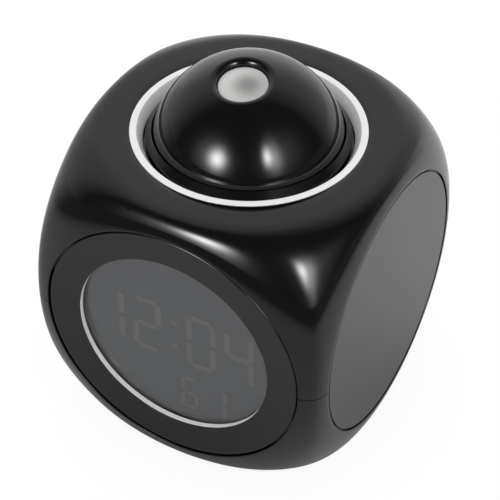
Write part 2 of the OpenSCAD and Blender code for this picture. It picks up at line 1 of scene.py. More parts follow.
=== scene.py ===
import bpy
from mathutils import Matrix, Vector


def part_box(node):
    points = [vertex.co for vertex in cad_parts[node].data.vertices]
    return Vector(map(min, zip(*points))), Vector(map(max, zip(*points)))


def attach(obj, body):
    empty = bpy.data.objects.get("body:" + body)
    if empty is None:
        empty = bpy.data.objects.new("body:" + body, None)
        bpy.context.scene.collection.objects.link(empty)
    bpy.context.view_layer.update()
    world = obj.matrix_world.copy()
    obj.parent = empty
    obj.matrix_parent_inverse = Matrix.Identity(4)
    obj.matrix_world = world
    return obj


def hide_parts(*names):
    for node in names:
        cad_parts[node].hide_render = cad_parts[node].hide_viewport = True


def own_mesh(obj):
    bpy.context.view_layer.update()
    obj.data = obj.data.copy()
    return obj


bl_info = {
    "name": "Projection Alarm Clock",
    "version": (1, 0, 0),
    "blender": (4, 5, 0),
    "location": "View3D > Sidebar > Clock",
    "description": "A cube clock with a round display and a projector ball in its top",
    "category": "Add Mesh",
}

import math

import bmesh
import bpy
import numpy as np
from bpy.props import FloatProperty, IntProperty, PointerProperty, StringProperty
from mathutils import Matrix, Vector

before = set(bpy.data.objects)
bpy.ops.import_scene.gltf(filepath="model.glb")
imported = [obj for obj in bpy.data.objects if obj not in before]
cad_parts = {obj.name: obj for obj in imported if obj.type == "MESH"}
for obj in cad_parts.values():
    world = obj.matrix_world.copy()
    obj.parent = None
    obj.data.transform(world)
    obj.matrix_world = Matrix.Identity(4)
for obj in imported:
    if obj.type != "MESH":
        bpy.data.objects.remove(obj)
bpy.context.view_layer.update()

MM = 0.001

# ---- Sizes, in millimetres ----

HALF = np.array((39.0, 39.2, 38.8))
MID_Z = 39.4
BASE_Z = MID_Z - HALF[2]
TOP_Z = MID_Z + HALF[2]
# The plane on which the two shells part
SPLIT_Z = 39.0
# Radius of each flat, of its fillet and of its soft edge, for the sides, the front and the top
FACE_R = (34.0, 34.0, 36.0)
RIM_R = (20.8, 25.6, 16.7)
EDGE_SOFT = (0.15, 0.15, 0.48)
# Radius of the sphere that rounds the corners
CORNER_R = 56.1
WALL = 2.4

# Openings: the seats of the front, rear and side discs, and the hole in the top
SEAT_R = 33.8
SIDE_SEAT_R = 33.4
SEAT_DEPTH = 1.6
LEDGE_W = 2.4
RING_R = 28.2
EDGE = 0.12
TOP_EDGE = 0.05

# Discs in the seats: the gap round them, their recess and soft edge, and their spigots
SEAT_GAP = 0.3
COVER_GAP, COVER_RECESS, COVER_SOFT = 0.5, 0.12, 0.15
PANEL_RECESS = PANEL_SOFT = 0.3
SPIGOT_WALL = 1.4
SPIGOT_LOW = 3.0

# Display: the window's lip, its pane and the bezel's spigot, with depths below the front
WINDOW_R = 25.4
LIP_HIGH, LIP_LOW = 0.85, 1.05
PANE_R = 27.0
PANE_HIGH, PANE_LOW = 2.75, 3.75
BEZEL_SPIGOT_R = 30.9

# Rear panel, seen from outside: keys, switch, jack and loudspeaker
BUTTON_R = 3.0
BUTTON_HOLE_R = 3.3
BUTTON_FLANGE_R = 3.9
BUTTON_PITCH = 9.5
BUTTON_Z = 13.0
SWITCH = (14.0, -1.0)
SWITCH_SLOT = (7.2, 3.2)
SWITCH_TRAVEL = 4.0
JACK_X = -14.0
JACK_R = 3.1
JACK_HOLE_R = 3.2
SPEAKER_Z = -17.0

# Base: half sizes of the battery bay, its roof and wall, the feet, and the door's hinge
BAY = (26.2, 17.7)
BAY_TOP = 15.4
BAY_WALL = 1.4
FEET = (15.005, 26.0)
FOOT_R = 3.2
FOOT_POCKET = 1.0
DOOR_GAP = 0.3
DOOR_LEAF = 1.9
HINGE_Y, HINGE_Z = -16.3, 1.9
GROOVE_PITCH, GROOVE_W, GROOVE_LENGTH = 1.4, 0.7, 16.0

# Head: the ball, its turn and tilt at rest, and its return springs
BALL_Z = 72.5
BALL_R = 23.3
BALL_WALL = 1.6
BALL_TURN, BALL_TILT = 2.2, 8.7
SPRING_RING, SPRING_R, SPRING_WIRE, SPRING_TURNS = 23.3, 2.0, 0.25, 5

# Segments of the large and the small round pieces, and the angle past which an edge is sharp
ROUND, SMALL = 192, 64
SHARP = math.radians(25)

# Local frames: of the four sides, each with its origin in the side's middle and +Z out of it,
# of the clock as a whole, and of the ball
FRONT = Matrix(((1, 0, 0, 0), (0, 0, -1, -HALF[1]), (0, 1, 0, MID_Z), (0, 0, 0, 1)))
REAR = Matrix(((-1, 0, 0, 0), (0, 0, 1, HALF[1]), (0, 1, 0, MID_Z), (0, 0, 0, 1)))
RIGHT = Matrix(((0, 0, 1, HALF[0]), (1, 0, 0, 0), (0, 1, 0, MID_Z), (0, 0, 0, 1)))
LEFT = Matrix(((0, 0, -1, -HALF[0]), (-1, 0, 0, 0), (0, 1, 0, MID_Z), (0, 0, 0, 1)))
UP = Matrix.Identity(4)
BALL = (Matrix.Translation((0, 0, BALL_Z)) @ Matrix.Rotation(math.radians(BALL_TURN), 4, "Z")
        @ Matrix.Rotation(math.radians(BALL_TILT), 4, "X"))


# ---- Settings ----

class ClockSizes(bpy.types.PropertyGroup):
    parting_gap: FloatProperty(
        name="Parting line", description="Gap between the upper and the lower shell",
        default=0.2 * MM, min=0.0, max=0.4 * MM, precision=5, subtype="DISTANCE", unit="LENGTH")
    edge_softness: FloatProperty(
        name="Face edge softness", description="How softly the flats run into their fillets",
        default=1.0, min=0.3, max=3.0)
    neck_soft: FloatProperty(
        name="Neck softness", description="How softly the fillets of two faces meet",
        default=0.61 * MM, min=0.05 * MM, max=1.2 * MM, precision=5, subtype="DISTANCE",
        unit="LENGTH")
    hole_radius: FloatProperty(
        name="Speaker hole radius", description="Radius of one hole in front of the speaker",
        default=0.9 * MM, min=0.5 * MM, max=1.2 * MM, precision=5, subtype="DISTANCE",
        unit="LENGTH")
    hole_pitch: FloatProperty(
        name="Speaker hole pitch", description="Distance between two speaker holes",
        default=3.2 * MM, min=2.5 * MM, max=4.0 * MM, precision=5, subtype="DISTANCE",
        unit="LENGTH")
    groove_count: IntProperty(
        name="Grip grooves", description="Number of grooves in the battery door",
        default=5, min=1, max=8)


class ClockColours(bpy.types.PropertyGroup):
    case: StringProperty(
        name="Case", description="Glossy black ABS, as an sRGB hex value", default="#0c0c0d")
    bezel: StringProperty(
        name="Bezel", description="Glossy black ABS, as an sRGB hex value", default="#111112")
    cover: StringProperty(
        name="Side covers", description="Black ABS with a soft gloss, as an sRGB hex value",
        default="#1a1a1c")
    ring: StringProperty(
        name="Rings", description="Milky white ABS, as an sRGB hex value", default="#f0f0ee")
    display: StringProperty(
        name="Display", description="Ground of the display glass, as an sRGB hex value",
        default="#868788")
    numerals: StringProperty(
        name="Numerals", description="Segments of the display, as an sRGB hex value",
        default="#9d9d9a")


# ---- Shapes from outlines ----
# A shape is (points, faces, corner normals) in millimetres, in a local frame.

def arc(centre, radius, start, end, steps):
    """Points of a round stretch of an outline, with the exact normals of a circle."""
    out = []
    for k in range(steps + 1):
        a = math.radians(start + (end - start) * k / steps)
        n = Vector((math.cos(a), math.sin(a)))
        if end < start:
            n = -n
        spot = (centre[0] + radius * math.cos(a), centre[1] + radius * math.sin(a))
        out.append((*spot, 0.0, n if k else None, n if k < steps else None))
    return out


def outline_rings(outline):
    """Turns corners (r, z, fillet) into (point, normal before, normal after)."""
    rings = []
    for i, corner in enumerate(outline):
        here = Vector(corner[:2])
        before = (here - Vector(outline[i - 1][:2])).normalized()
        after = (Vector(outline[(i + 1) % len(outline)][:2]) - here).normalized()
        n_in, n_out = Vector((before.y, -before.x)), Vector((after.y, -after.x))
        turn = math.atan2(before.x * after.y - before.y * after.x, before.dot(after))
        fillet = corner[2] if len(corner) > 2 else 0.0
        if len(corner) > 3:
            first, last = corner[3], corner[4]
            known = first or last
            smooth = abs(turn) < math.radians(30)
            rings.append((here, first or (known if smooth else n_in),
                          last or (known if smooth else n_out)))
        elif fillet:
            side = math.copysign(1.0, turn)
            reach = fillet * math.tan(abs(turn) / 2)
            centre = here - before * reach - n_in * fillet * side
            steps = max(2, math.ceil(abs(turn) / math.radians(16)))
            for k in range(steps + 1):
                n = Matrix.Rotation(turn * k / steps, 2) @ n_in
                rings.append((centre + n * fillet * side, n, n))
        elif abs(turn) < math.radians(30):
            n = (n_in + n_out).normalized()
            rings.append((here, n, n))
        else:
            rings.append((here, n_in, n_out))
    return rings


def lathe(outline, segments=SMALL):
    """A closed outline, counter-clockwise in (r, z), turned round Z."""
    rings = outline_rings(outline)
    turns = [(math.cos(2 * math.pi * j / segments), math.sin(2 * math.pi * j / segments))
             for j in range(segments)]
    points, first = [], []
    for here, _, _ in rings:
        first.append(len(points))
        if here.x < 1e-6:
            points.append(Vector((0, 0, here.y)))
        else:
            points += [Vector((here.x * c, here.x * s, here.y)) for c, s in turns]
    faces, normals = [], []
    for i, (here, _, n_here) in enumerate(rings):
        k = (i + 1) % len(rings)
        there, n_there, _ = rings[k]
        low, high = here.x < 1e-6, there.x < 1e-6
        if low and high:
            continue
        for j in range(segments):
            m = (j + 1) % segments
            face, bend = [], []
            for ring, at, n, pole in ((i, j, n_here, low), (i, m, n_here, low),
                                      (k, m, n_there, high), (k, j, n_there, high)):
                spot = first[ring] + (0 if pole else at)
                if spot not in face:
                    face.append(spot)
                    c, s = turns[at]
                    bend.append(Vector((n.x * c, n.x * s, n.y)))
            faces.append(face)
            normals += bend
    return points, faces, normals


def box(low, high, bevel=0.2):
    """A box with bevelled edges."""
    bm = bmesh.new()
    bmesh.ops.create_cube(bm, size=1.0)
    for v in bm.verts:
        v.co = [low[a] if v.co[a] < 0 else high[a] for a in range(3)]
    bmesh.ops.bevel(bm, geom=bm.edges[:], offset=bevel, segments=3, profile=0.5,
                    affect="EDGES", clamp_overlap=True)
    bm.normal_update()
    points = [v.co.copy() for v in bm.verts]
    faces = [[v.index for v in f.verts] for f in bm.faces]
    biggest = {}
    for f in bm.faces:
        for v in f.verts:
            old = biggest.get(v.index)
            if old is None or f.calc_area() > old[0]:
                biggest[v.index] = (f.calc_area(), f.normal.copy())
    normals = [biggest[v.index][1] for f in bm.faces for v in f.verts]
    bm.free()
    return points, faces, normals


def join(*shapes):
    """Several shapes as one."""
    points, faces, normals = [], [], []
    for more, sides, bends in shapes:
        faces += [[i + len(points) for i in face] for face in sides]
        points += more
        normals += bends
    return points, faces, normals


def moved(shape, place):
    """A shape turned and moved."""
    turn = place.to_3x3()
    return ([place @ p for p in shape[0]], shape[1], [turn @ n for n in shape[2]])


def mesh_of(name, shape, place=UP):
    """The Blender mesh of a shape, in metres, in its place."""
    points, faces, normals = moved(shape, place)
    mesh = bpy.data.meshes.new(name)
    mesh.from_pydata([p * MM for p in points], [], faces)
    mesh.shade_smooth()
    mesh.normals_split_custom_set(normals)
    return mesh


def piece(name, mesh, finish, body, slot, *nodes):
    """Links a finished mesh as a piece of the clock that stands for CAD nodes."""
    obj = bpy.data.objects.new(name, mesh)
    bpy.context.scene.collection.objects.link(obj)
    mesh.materials.clear()
    mesh.materials.append(finish)
    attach(obj, body)
    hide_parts(*nodes)
    return obj


# ---- The body's form ----

def fillet_centre(axis):
    """Centre of a face's fillet, in (distance from the face's axis, height along it)."""
    r, h, rim = FACE_R[axis], HALF[axis], RIM_R[axis]
    d = math.hypot(r, h)
    a = (d * d + (CORNER_R - rim) ** 2 - rim * rim) / (2 * d)
    s = math.sqrt((CORNER_R - rim) ** 2 - a * a)
    return (r * a + h * s) / d, (h * a - r * s) / d


def level(p, seam, neck):
    """Signed distance, roughly, of points from the body's surface, with soft edges."""
    q = np.abs(p)
    sides = []
    for axis in range(3):
        h = q[..., axis]
        rho = np.hypot(q[..., axis - 1], q[..., axis - 2])
        c0, c1 = fillet_centre(axis)
        side = np.where(h * c0 > rho * c1, np.hypot(rho - c0, h - c1) - RIM_R[axis],
                        np.hypot(rho, h) - CORNER_R)
        flat = h - HALF[axis]
        soft = seam * EDGE_SOFT[axis]
        blend = np.maximum(soft - np.abs(flat - side), 0) / soft
        sides.append(np.maximum(flat, side) + blend ** 3 * soft / 6)
    sides = np.stack(sides)
    most = sides.max(0)
    return most + neck * np.log(np.exp((sides - most) / neck).sum(0))


def slope(p, seam, neck):
    """Gradient of level, which points out of the body."""
    step = 1e-3
    return np.stack([level(p + step * e, seam, neck) - level(p - step * e, seam, neck)
                     for e in np.eye(3)], -1) / (2 * step)


NEWTON_STEPS = 14


def on_surface(start, along, seam, neck):
    """Moves points along their directions until they lie on the body's surface."""
    p = start.copy()
    for _ in range(NEWTON_STEPS):
        g = (slope(p, seam, neck) * along).sum(-1)
        p -= along * (level(p, seam, neck) / g)[..., None]
    return p


# Points in a row round a face, and rows from a face's border to its flat
COLUMNS = 192
FILLET_ROWS = 16
# Radii of the rows on the flats: the top's are close together where its soft edge bends
SIDE_RADII = (35.3, 34.9, 34.6, 34.35, 34.15, 33.95, 33.75)
TOP_RADII = (38.5, *np.arange(38.2, 33.5, -0.3), 33.2, 32.8, 32.2, 31, 29.5)
# Radius inside which the base is filled round the battery bay
BASE_FILL_R = 35.0
# Rows of the outer side that the wall's inner side follows, from the flat to the border
INNER_ROWS = (18, 15, 12, 9, 6, 4, 2, 1, 0)


def unit(v):
    """Vectors at length 1."""
    return v / np.linalg.norm(v, axis=-1, keepdims=True)


def face_rows(axis, sign, opening, seam, neck):
    """Rows of points over one face, from its border with the other faces to its opening."""
    phi = 2 * np.pi * np.arange(COLUMNS) / COLUMNS
    u, v = np.eye(3)[(axis + 1) % 3], np.eye(3)[(axis + 2) % 3]
    out = np.eye(3)[axis] * sign
    radial = np.cos(phi)[:, None] * u + np.sin(phi)[:, None] * v
    most = np.maximum(np.abs(np.cos(phi)), np.abs(np.sin(phi)))[:, None]
    border = unit(radial / most + out)
    radii = [r for r in (TOP_RADII if axis == 2 else SIDE_RADII) if r > opening + 0.1]
    straight = np.broadcast_to(out, border.shape)
    flat = [on_surface(radial * r + out * HALF[axis], straight, seam, neck)
            for r in (*radii, opening)]
    fillet = []
    for k in range(FILLET_ROWS):
        share = k / FILLET_ROWS
        ray = unit(unit(flat[0]) * share + border * (1 - share))
        fillet.append(on_surface(ray * CORNER_R, ray, seam, neck))
    return fillet + flat, radial, out


def body_mesh(seam, neck):
    """The whole hollow body, as rows of points in millimetres round its middle.

    Returns the points, their normals, the quads, which quads are flat, and the two rows that
    bound the fill of the base.
    """
    points, normals, faces, flats = [], [], [], []
    base_rows = ()

    def add_row(p, n):
        points.append(p)
        normals.append(np.broadcast_to(n, p.shape))
        return len(points) - 1

    def bridge(order, flat):
        for a, b, is_flat in zip(order, order[1:], flat):
            for j in range(COLUMNS):
                m = (j + 1) % COLUMNS
                faces.append((a * COLUMNS + j, a * COLUMNS + m, b * COLUMNS + m,
                              b * COLUMNS + j))
                flats.append(is_flat)

    for axis, sign in ((axis, sign) for axis in range(3) for sign in (1, -1)):
        h = HALF[axis]
        top, bottom = axis == 2 and sign > 0, axis == 2 and sign < 0
        seat = RING_R if top else (SIDE_SEAT_R if axis == 0 else SEAT_R)
        edge = TOP_EDGE if top else EDGE
        opening = BASE_FILL_R if bottom else seat + edge
        rows, radial, out = face_rows(axis, sign, opening, seam, neck)

        def ring(r, height, n):
            """A row of points at one radius and height, with one normal."""
            return add_row(radial * r + out * height, n)

        order = [add_row(p, unit(slope(p, seam, neck))) for p in rows]
        flat = [0] * (len(order) - 1)
        inner_flat = FACE_R[axis] - 0.3
        if bottom:
            bridge(order, flat)
            rim, order, flat = order[-1], [ring(inner_flat, h - WALL, -out)], []
            base_rows = (rim, order[0])
        else:
            edge_h = float((rows[-1] @ out).mean())
            for a in (30, 60, 90):
                c, s = math.cos(math.radians(a)), math.sin(math.radians(a))
                order.append(ring(seat + edge * (1 - s), edge_h - edge * (1 - c),
                                  out * c - radial * s))
                flat.append(0)
            bore = seat
            if not top:
                bore = seat - LEDGE_W
                order.append(ring(seat, h - SEAT_DEPTH, -radial))
                order.append(ring(bore, h - SEAT_DEPTH, -radial))
                flat += [0, 1]
            order.append(ring(bore, h - WALL, -radial))
            order.append(ring(inner_flat, h - WALL, -out))
            flat += [0, 1]
        for k in INNER_ROWS:
            n = unit(slope(rows[k], seam, neck))
            order.append(add_row(rows[k] - WALL * n, -n))
            flat.append(0)
        bridge(order, flat)
    return np.concatenate(points), np.concatenate(normals), faces, flats, base_rows


def turned_outwards(points, normals, faces, flats):
    """Quads that look along their corners' normals, or out of the wall where they are flat."""
    quads, flat = np.array(faces), np.array(flats, dtype=bool)
    a, b, c = (points[quads[:, k]] for k in range(3))
    turned = np.cross(b - a, c - b)
    want = normals[quads].mean(1)
    middle = points[quads].mean(1)
    axis_of = np.argmax(np.abs(turned), 1)
    rows = np.arange(len(quads))
    outward = np.zeros_like(middle)
    outward[rows, axis_of] = np.sign(middle[rows, axis_of])
    inside = np.abs(middle[rows, axis_of]) < HALF[axis_of] - SEAT_DEPTH - 0.1
    outward[inside] *= -1
    want[flat] = outward[flat]
    back = (turned * want).sum(1) < 0
    quads[back] = quads[back][:, ::-1]
    return quads, flat


def fill(bm, edges, up):
    """Fills loops of edges with flat faces that look up or down."""
    is_flat = bm.faces.layers.int["flat"]
    made = bmesh.ops.triangle_fill(bm, use_beauty=True, use_dissolve=False, edges=edges,
                                   normal=(0, 0, up))
    for f in made["geom"]:
        if isinstance(f, bmesh.types.BMFace):
            f.normal_update()
            if f.normal.z * up < 0:
                f.normal_flip()
            f[is_flat] = 1


def loop_edges(bm, verts):
    """The edges of a closed loop of points."""
    return [bm.edges.get((p, q)) or bm.edges.new((p, q))
            for p, q in zip(verts, verts[1:] + verts[:1])]


def walls(bm, low, high, flat):
    """Faces between two loops of points."""
    is_flat = bm.faces.layers.int["flat"]
    for (p, q), (r, s) in zip(zip(low, low[1:] + low[:1]), zip(high, high[1:] + high[:1])):
        f = bm.faces.new((p, q, s, r))
        f[is_flat] = flat


def circle_points(x, y, r, z, count=48):
    """A circle's points."""
    return [(x + r * math.cos(2 * math.pi * k / count), y + r * math.sin(2 * math.pi * k / count),
             z) for k in range(count)]


def rectangle_points(x, y, z):
    """A rectangle's corners, from its half sizes."""
    return [(x, y, z), (-x, y, z), (-x, -y, z), (x, -y, z)]


def close_base(bm, base, inner):
    """The base with the battery bay's mouth and box, and four pockets for the feet."""
    bend = bm.verts.layers.float_vector["bend"]
    z_base, z_inner = -HALF[2], -HALF[2] + WALL

    def loop(points, normal):
        verts = [bm.verts.new(p) for p in points]
        for v in verts:
            v[bend] = normal
        return verts, loop_edges(bm, verts)

    down, up = (0, 0, -1), (0, 0, 1)
    mouth, mouth_edges = loop(rectangle_points(*BAY, z_base), down)
    roof, roof_edges = loop(rectangle_points(*BAY, BAY_TOP - MID_Z), down)
    hem = loop_edges(bm, base) + mouth_edges
    for x in (-FEET[0], FEET[0]):
        for y in (-FEET[1], FEET[1]):
            low, low_edges = loop(circle_points(x, y, FOOT_R, z_base), down)
            high, high_edges = loop(circle_points(x, y, FOOT_R, z_base + FOOT_POCKET), down)
            for v in low + high:
                v[bend] = Vector((x - v.co.x, y - v.co.y, 0)).normalized()
            walls(bm, high, low, 0)
            fill(bm, high_edges, -1)
            hem += low_edges
    walls(bm, roof, mouth, 1)
    fill(bm, roof_edges, -1)
    fill(bm, hem, -1)
    # The bay's box, seen from inside the body
    outer_bay = (BAY[0] + BAY_WALL, BAY[1] + BAY_WALL)
    foot, foot_edges = loop(rectangle_points(*outer_bay, z_inner), up)
    lid, lid_edges = loop(rectangle_points(*outer_bay, BAY_TOP + BAY_WALL - MID_Z), up)
    walls(bm, foot, lid, 1)
    fill(bm, lid_edges, 1)
    fill(bm, loop_edges(bm, inner) + foot_edges, 1)
    bmesh.ops.remove_doubles(bm, verts=bm.verts[:], dist=1e-3)


def half_shell(body, side, gap):
    """The part of the body above or below the parting line, closed there, as a shape."""
    bm = body.copy()
    bmesh.ops.bisect_plane(
        bm, geom=bm.verts[:] + bm.edges[:] + bm.faces[:], dist=1e-4,
        plane_co=(0, 0, SPLIT_Z - MID_Z + side * gap), plane_no=(0, 0, side), clear_inner=True)
    fill(bm, [e for e in bm.edges if e.is_boundary], -side)
    bend = bm.verts.layers.float_vector["bend"]
    is_flat = bm.faces.layers.int["flat"]
    bm.normal_update()
    bm.verts.index_update()
    points = [v.co.copy() for v in bm.verts]
    faces = [[v.index for v in f.verts] for f in bm.faces]
    normals = [f.normal.copy() if f[is_flat] else v[bend].normalized()
               for f in bm.faces for v in f.verts]
    bm.free()
    return points, faces, normals


def build_shells(sizes, colours):
    """The upper and the lower shell, parted on the split plane."""
    points, normals, faces, flats, base_rows = body_mesh(sizes.edge_softness,
                                                         sizes.neck_soft / MM)
    quads, flat = turned_outwards(points, normals, faces, flats)
    mesh = bpy.data.meshes.new("body_form")
    mesh.from_pydata(points.tolist(), [], quads.tolist())
    mesh.attributes.new("bend", "FLOAT_VECTOR", "POINT").data.foreach_set(
        "vector", normals.astype(np.float32).ravel())
    mesh.attributes.new("flat", "INT", "FACE").data.foreach_set(
        "value", flat.astype(np.int32))
    bm = bmesh.new()
    bm.from_mesh(mesh)
    bpy.data.meshes.remove(mesh)
    bm.verts.ensure_lookup_table()
    close_base(bm, *([bm.verts[row * COLUMNS + j] for j in range(COLUMNS)]
                     for row in base_rows))
    place = Matrix.Translation((0, 0, MID_Z))
    for name, side in (("upper_shell", 1), ("lower_shell", -1)):
        shape = half_shell(bm, side, sizes.parting_gap / MM / 2)
        piece(name + "_form", mesh_of(name, shape, place), gloss_abs(colours), "housing",
              "gloss_black", name)
    bm.free()


# ---- Materials ----

def linear(colour):
    """An sRGB hex value as linear RGBA."""
    parts = [int(colour[i:i + 2], 16) / 255 for i in (1, 3, 5)]
    return tuple(c / 12.92 if c <= 0.04045 else ((c + 0.055) / 1.055) ** 2.4
                 for c in parts) + (1.0,)


def add(tree, kind, settings=(), inputs=()):
    """Adds a node with its settings, and its inputs as values or as sockets to link."""
    node = tree.nodes.new(kind)
    for key, value in dict(settings).items():
        setattr(node, key, value)
    for key, value in dict(inputs).items():
        if isinstance(value, bpy.types.NodeSocket):
            tree.links.new(value, node.inputs[key])
        else:
            node.inputs[key].default_value = value
    return node


def soft_range(tree, value, start, end, low=0.0, high=1.0):
    """A value's way from start to end, eased, as a way from low to high."""
    return add(tree, "ShaderNodeMapRange", {"interpolation_type": "SMOOTHSTEP"},
               {"Value": value, "From Min": start, "From Max": end, "To Min": low,
                "To Max": high}).outputs["Result"]


def new_material(name):
    """An empty node material and its tree, or None for the tree when it exists already."""
    mat = bpy.data.materials.get(name)
    if mat:
        return mat, None
    mat = bpy.data.materials.new(name)
    mat.use_nodes = True
    mat.node_tree.nodes.clear()
    return mat, mat.node_tree


def surface(name, colour, roughness, grain=0.6, depth=0.004, shade=0.06, rough_spread=0.04,
            wave=0.0, wave_size=6.0, **sockets):
    """A moulded or finished surface: colour, its slight variation, grain and gloss.

    grain and wave_size are in millimetres; depth and wave are heights in millimetres.
    """
    mat, tree = new_material(name)
    if tree is None:
        return mat
    place = add(tree, "ShaderNodeTexCoord").outputs["Object"]
    fine = add(tree, "ShaderNodeTexNoise", {"noise_dimensions": "3D"},
               {"Vector": place, "Scale": 1000 / grain, "Detail": 3.0, "Roughness": 0.6})
    broad = add(tree, "ShaderNodeTexNoise", {"noise_dimensions": "3D"},
                {"Vector": place, "Scale": 1000 / wave_size, "Detail": 2.0})
    base = linear(colour)
    dark = tuple(c * (1 - shade) for c in base[:3]) + (1.0,)
    light = tuple(min(1.0, c * (1 + shade)) for c in base[:3]) + (1.0,)
    tint = add(tree, "ShaderNodeMix", {"data_type": "RGBA"},
               {0: broad.outputs["Fac"], 6: dark, 7: light})
    gloss = add(tree, "ShaderNodeMapRange", {},
                {"Value": fine.outputs["Fac"], "From Min": 0.3, "From Max": 0.7,
                 "To Min": max(0.0, roughness - rough_spread),
                 "To Max": roughness + rough_spread})
    bump = add(tree, "ShaderNodeBump", {},
               {"Height": fine.outputs["Fac"], "Strength": 1.0, "Distance": depth * MM})
    normal = bump.outputs["Normal"]
    if wave:
        normal = add(tree, "ShaderNodeBump", {},
                     {"Height": broad.outputs["Fac"], "Strength": 1.0, "Distance": wave * MM,
                      "Normal": normal}).outputs["Normal"]
    shader = add(tree, "ShaderNodeBsdfPrincipled", {},
                 {"Base Color": tint.outputs[2], "Roughness": gloss.outputs["Result"],
                  "Normal": normal, **{k.replace("_", " "): v for k, v in sockets.items()}})
    add(tree, "ShaderNodeOutputMaterial", {}, {"Surface": shader.outputs[0]})
    return mat


def gloss_abs(colours):
    """Gloss ABS from a polished mould: deep black, mirror-like, with a faint long wave."""
    return surface("polished_moulded_abs", colours.case, 0.07, grain=0.25, depth=0.00002,
                   rough_spread=0.015, wave=0.0006, wave_size=9.0, IOR=1.5)


def bezel_abs(colours):
    """Gloss ABS of the bezel and the rear panel: black, a touch less polished than the case."""
    return surface("moulded_abs_panel", colours.bezel, 0.12, grain=0.3, depth=0.00005,
                   rough_spread=0.02, wave=0.0006, wave_size=12.0, IOR=1.5)


def cover_abs(colours):
    """ABS disc with a soft gloss: black, and grey wherever it mirrors a pale table."""
    return surface("soft_gloss_moulded_abs", colours.cover, 0.2, grain=0.4, depth=0.0003,
                   shade=0.1, rough_spread=0.04, wave=0.001, wave_size=14.0, IOR=1.5)


def ring_abs(colours):
    """Milky ABS: white, with a soft gloss and a faint painted glow that brightens it."""
    # The faint white emission is a painted glow
    return surface("milky_moulded_abs_painted_glow", colours.ring, 0.3, grain=0.5, depth=0.001,
                   shade=0.02, IOR=1.5, Emission_Color=(1, 1, 1, 1), Emission_Strength=0.05)


def window_acrylic():
    """Clear cast acrylic: a sharp reflection over the display, with a trace of smoke."""
    mat, tree = new_material("clear_cast_acrylic")
    if tree is None:
        return mat
    place = add(tree, "ShaderNodeTexCoord").outputs["Object"]
    haze = add(tree, "ShaderNodeTexNoise", {}, {"Vector": place, "Scale": 1000 / 8.0})
    gloss = add(tree, "ShaderNodeMapRange", {},
                {"Value": haze.outputs["Fac"], "To Min": 0.01, "To Max": 0.05})
    shader = add(tree, "ShaderNodeBsdfPrincipled", {},
                 {"Base Color": linear("#e4e5e7"), "Roughness": gloss.outputs["Result"],
                  "IOR": 1.49, "Transmission Weight": 1.0})
    add(tree, "ShaderNodeOutputMaterial", {}, {"Surface": shader.outputs[0]})
    return mat


# ---- Front, sides and rear ----

def build_front(colours):
    """The bezel, the white ring inside it and the window pane."""
    outer, bore = SEAT_R - SEAT_GAP - 0.08, PANE_R + 0.1
    bezel = lathe([
        (WINDOW_R, -LIP_LOW), (WINDOW_R, -LIP_HIGH, 0.12), (outer, -0.15, 0.4),
        (outer, -SEAT_DEPTH), (BEZEL_SPIGOT_R, -SEAT_DEPTH), (BEZEL_SPIGOT_R, -PANE_LOW),
        (bore, -PANE_LOW), (bore, -LIP_LOW)], ROUND)
    piece("front_bezel_form", mesh_of("front_bezel", bezel, FRONT), bezel_abs(colours),
          "housing", "satin_black", "front_bezel")
    # The ring's wall is undercut below, so that little of its white shows in the window
    ring = lathe([(WINDOW_R + 0.9, -PANE_HIGH), (PANE_R, -PANE_HIGH), (PANE_R, -LIP_LOW),
                  (WINDOW_R, -LIP_LOW, 0.1), (WINDOW_R, -2.3)], ROUND)
    piece("display_ring_form", mesh_of("display_ring", ring, FRONT), ring_abs(colours),
          "housing", "ring_white", "display_ring")
    pane = lathe([(0, -PANE_LOW), (PANE_R, -PANE_LOW), (PANE_R, -PANE_HIGH), (0, -PANE_HIGH)],
                 ROUND)
    piece("display_window_form", mesh_of("display_window", pane, FRONT), window_acrylic(),
          "housing", "window_clear", "display_window")


def seat_disc(seat_r, gap, recess, soft):
    """A disc for a seat of the case, with a soft edge and a spigot inside the seat's ledge."""
    r, spigot = seat_r - gap, seat_r - LEDGE_W - SEAT_GAP
    bore = spigot - SPIGOT_WALL
    return lathe([(0, -SEAT_DEPTH), (bore, -SEAT_DEPTH), (bore, -SPIGOT_LOW),
                  (spigot, -SPIGOT_LOW), (spigot, -SEAT_DEPTH), (r, -SEAT_DEPTH),
                  (r, -recess, soft), (0, -recess)], ROUND)


def build_covers(colours):
    """The plain round covers of the two sides."""
    disc = seat_disc(SIDE_SEAT_R, COVER_GAP, COVER_RECESS, COVER_SOFT)
    for name, place in (("right_cover", RIGHT), ("left_cover", LEFT)):
        piece(name + "_form", mesh_of(name, disc, place), cover_abs(colours), "housing",
              "cover_grey", name)


def node_tree(name, inputs):
    """A Geometry Nodes tree with a geometry in and out, and named inputs for its sizes."""
    tree = bpy.data.node_groups.new(name, "GeometryNodeTree")
    tree.interface.new_socket("Geometry", in_out="OUTPUT", socket_type="NodeSocketGeometry")
    for label, kind in (("Geometry", "NodeSocketGeometry"), *inputs):
        tree.interface.new_socket(label, in_out="INPUT", socket_type=kind)
    return tree, tree.nodes.new("NodeGroupInput").outputs


def set_out(tree, points, shape):
    """One real copy of a shape on each point."""
    copies = add(tree, "GeometryNodeInstanceOnPoints", {}, {"Points": points, "Instance": shape})
    return add(tree, "GeometryNodeRealizeInstances", {}, {0: copies.outputs[0]}).outputs[0]


def cut_away(tree, given, tools):
    """The tree's own geometry less the tools."""
    cut = add(tree, "GeometryNodeMeshBoolean", {"operation": "DIFFERENCE", "solver": "EXACT"},
              {"Mesh 1": given["Geometry"], "Mesh 2": tools})
    return add(tree, "GeometryNodeRealizeInstances", {}, {0: cut.outputs["Mesh"]}).outputs[0]


def end_tree(tree, given, geometry):
    """Gives the geometry the tree's material and puts it out."""
    done = add(tree, "GeometryNodeSetMaterial", {},
               {"Geometry": geometry, "Material": given["Material"]})
    add(tree, "NodeGroupOutput", {}, {0: done.outputs[0]})
    return tree


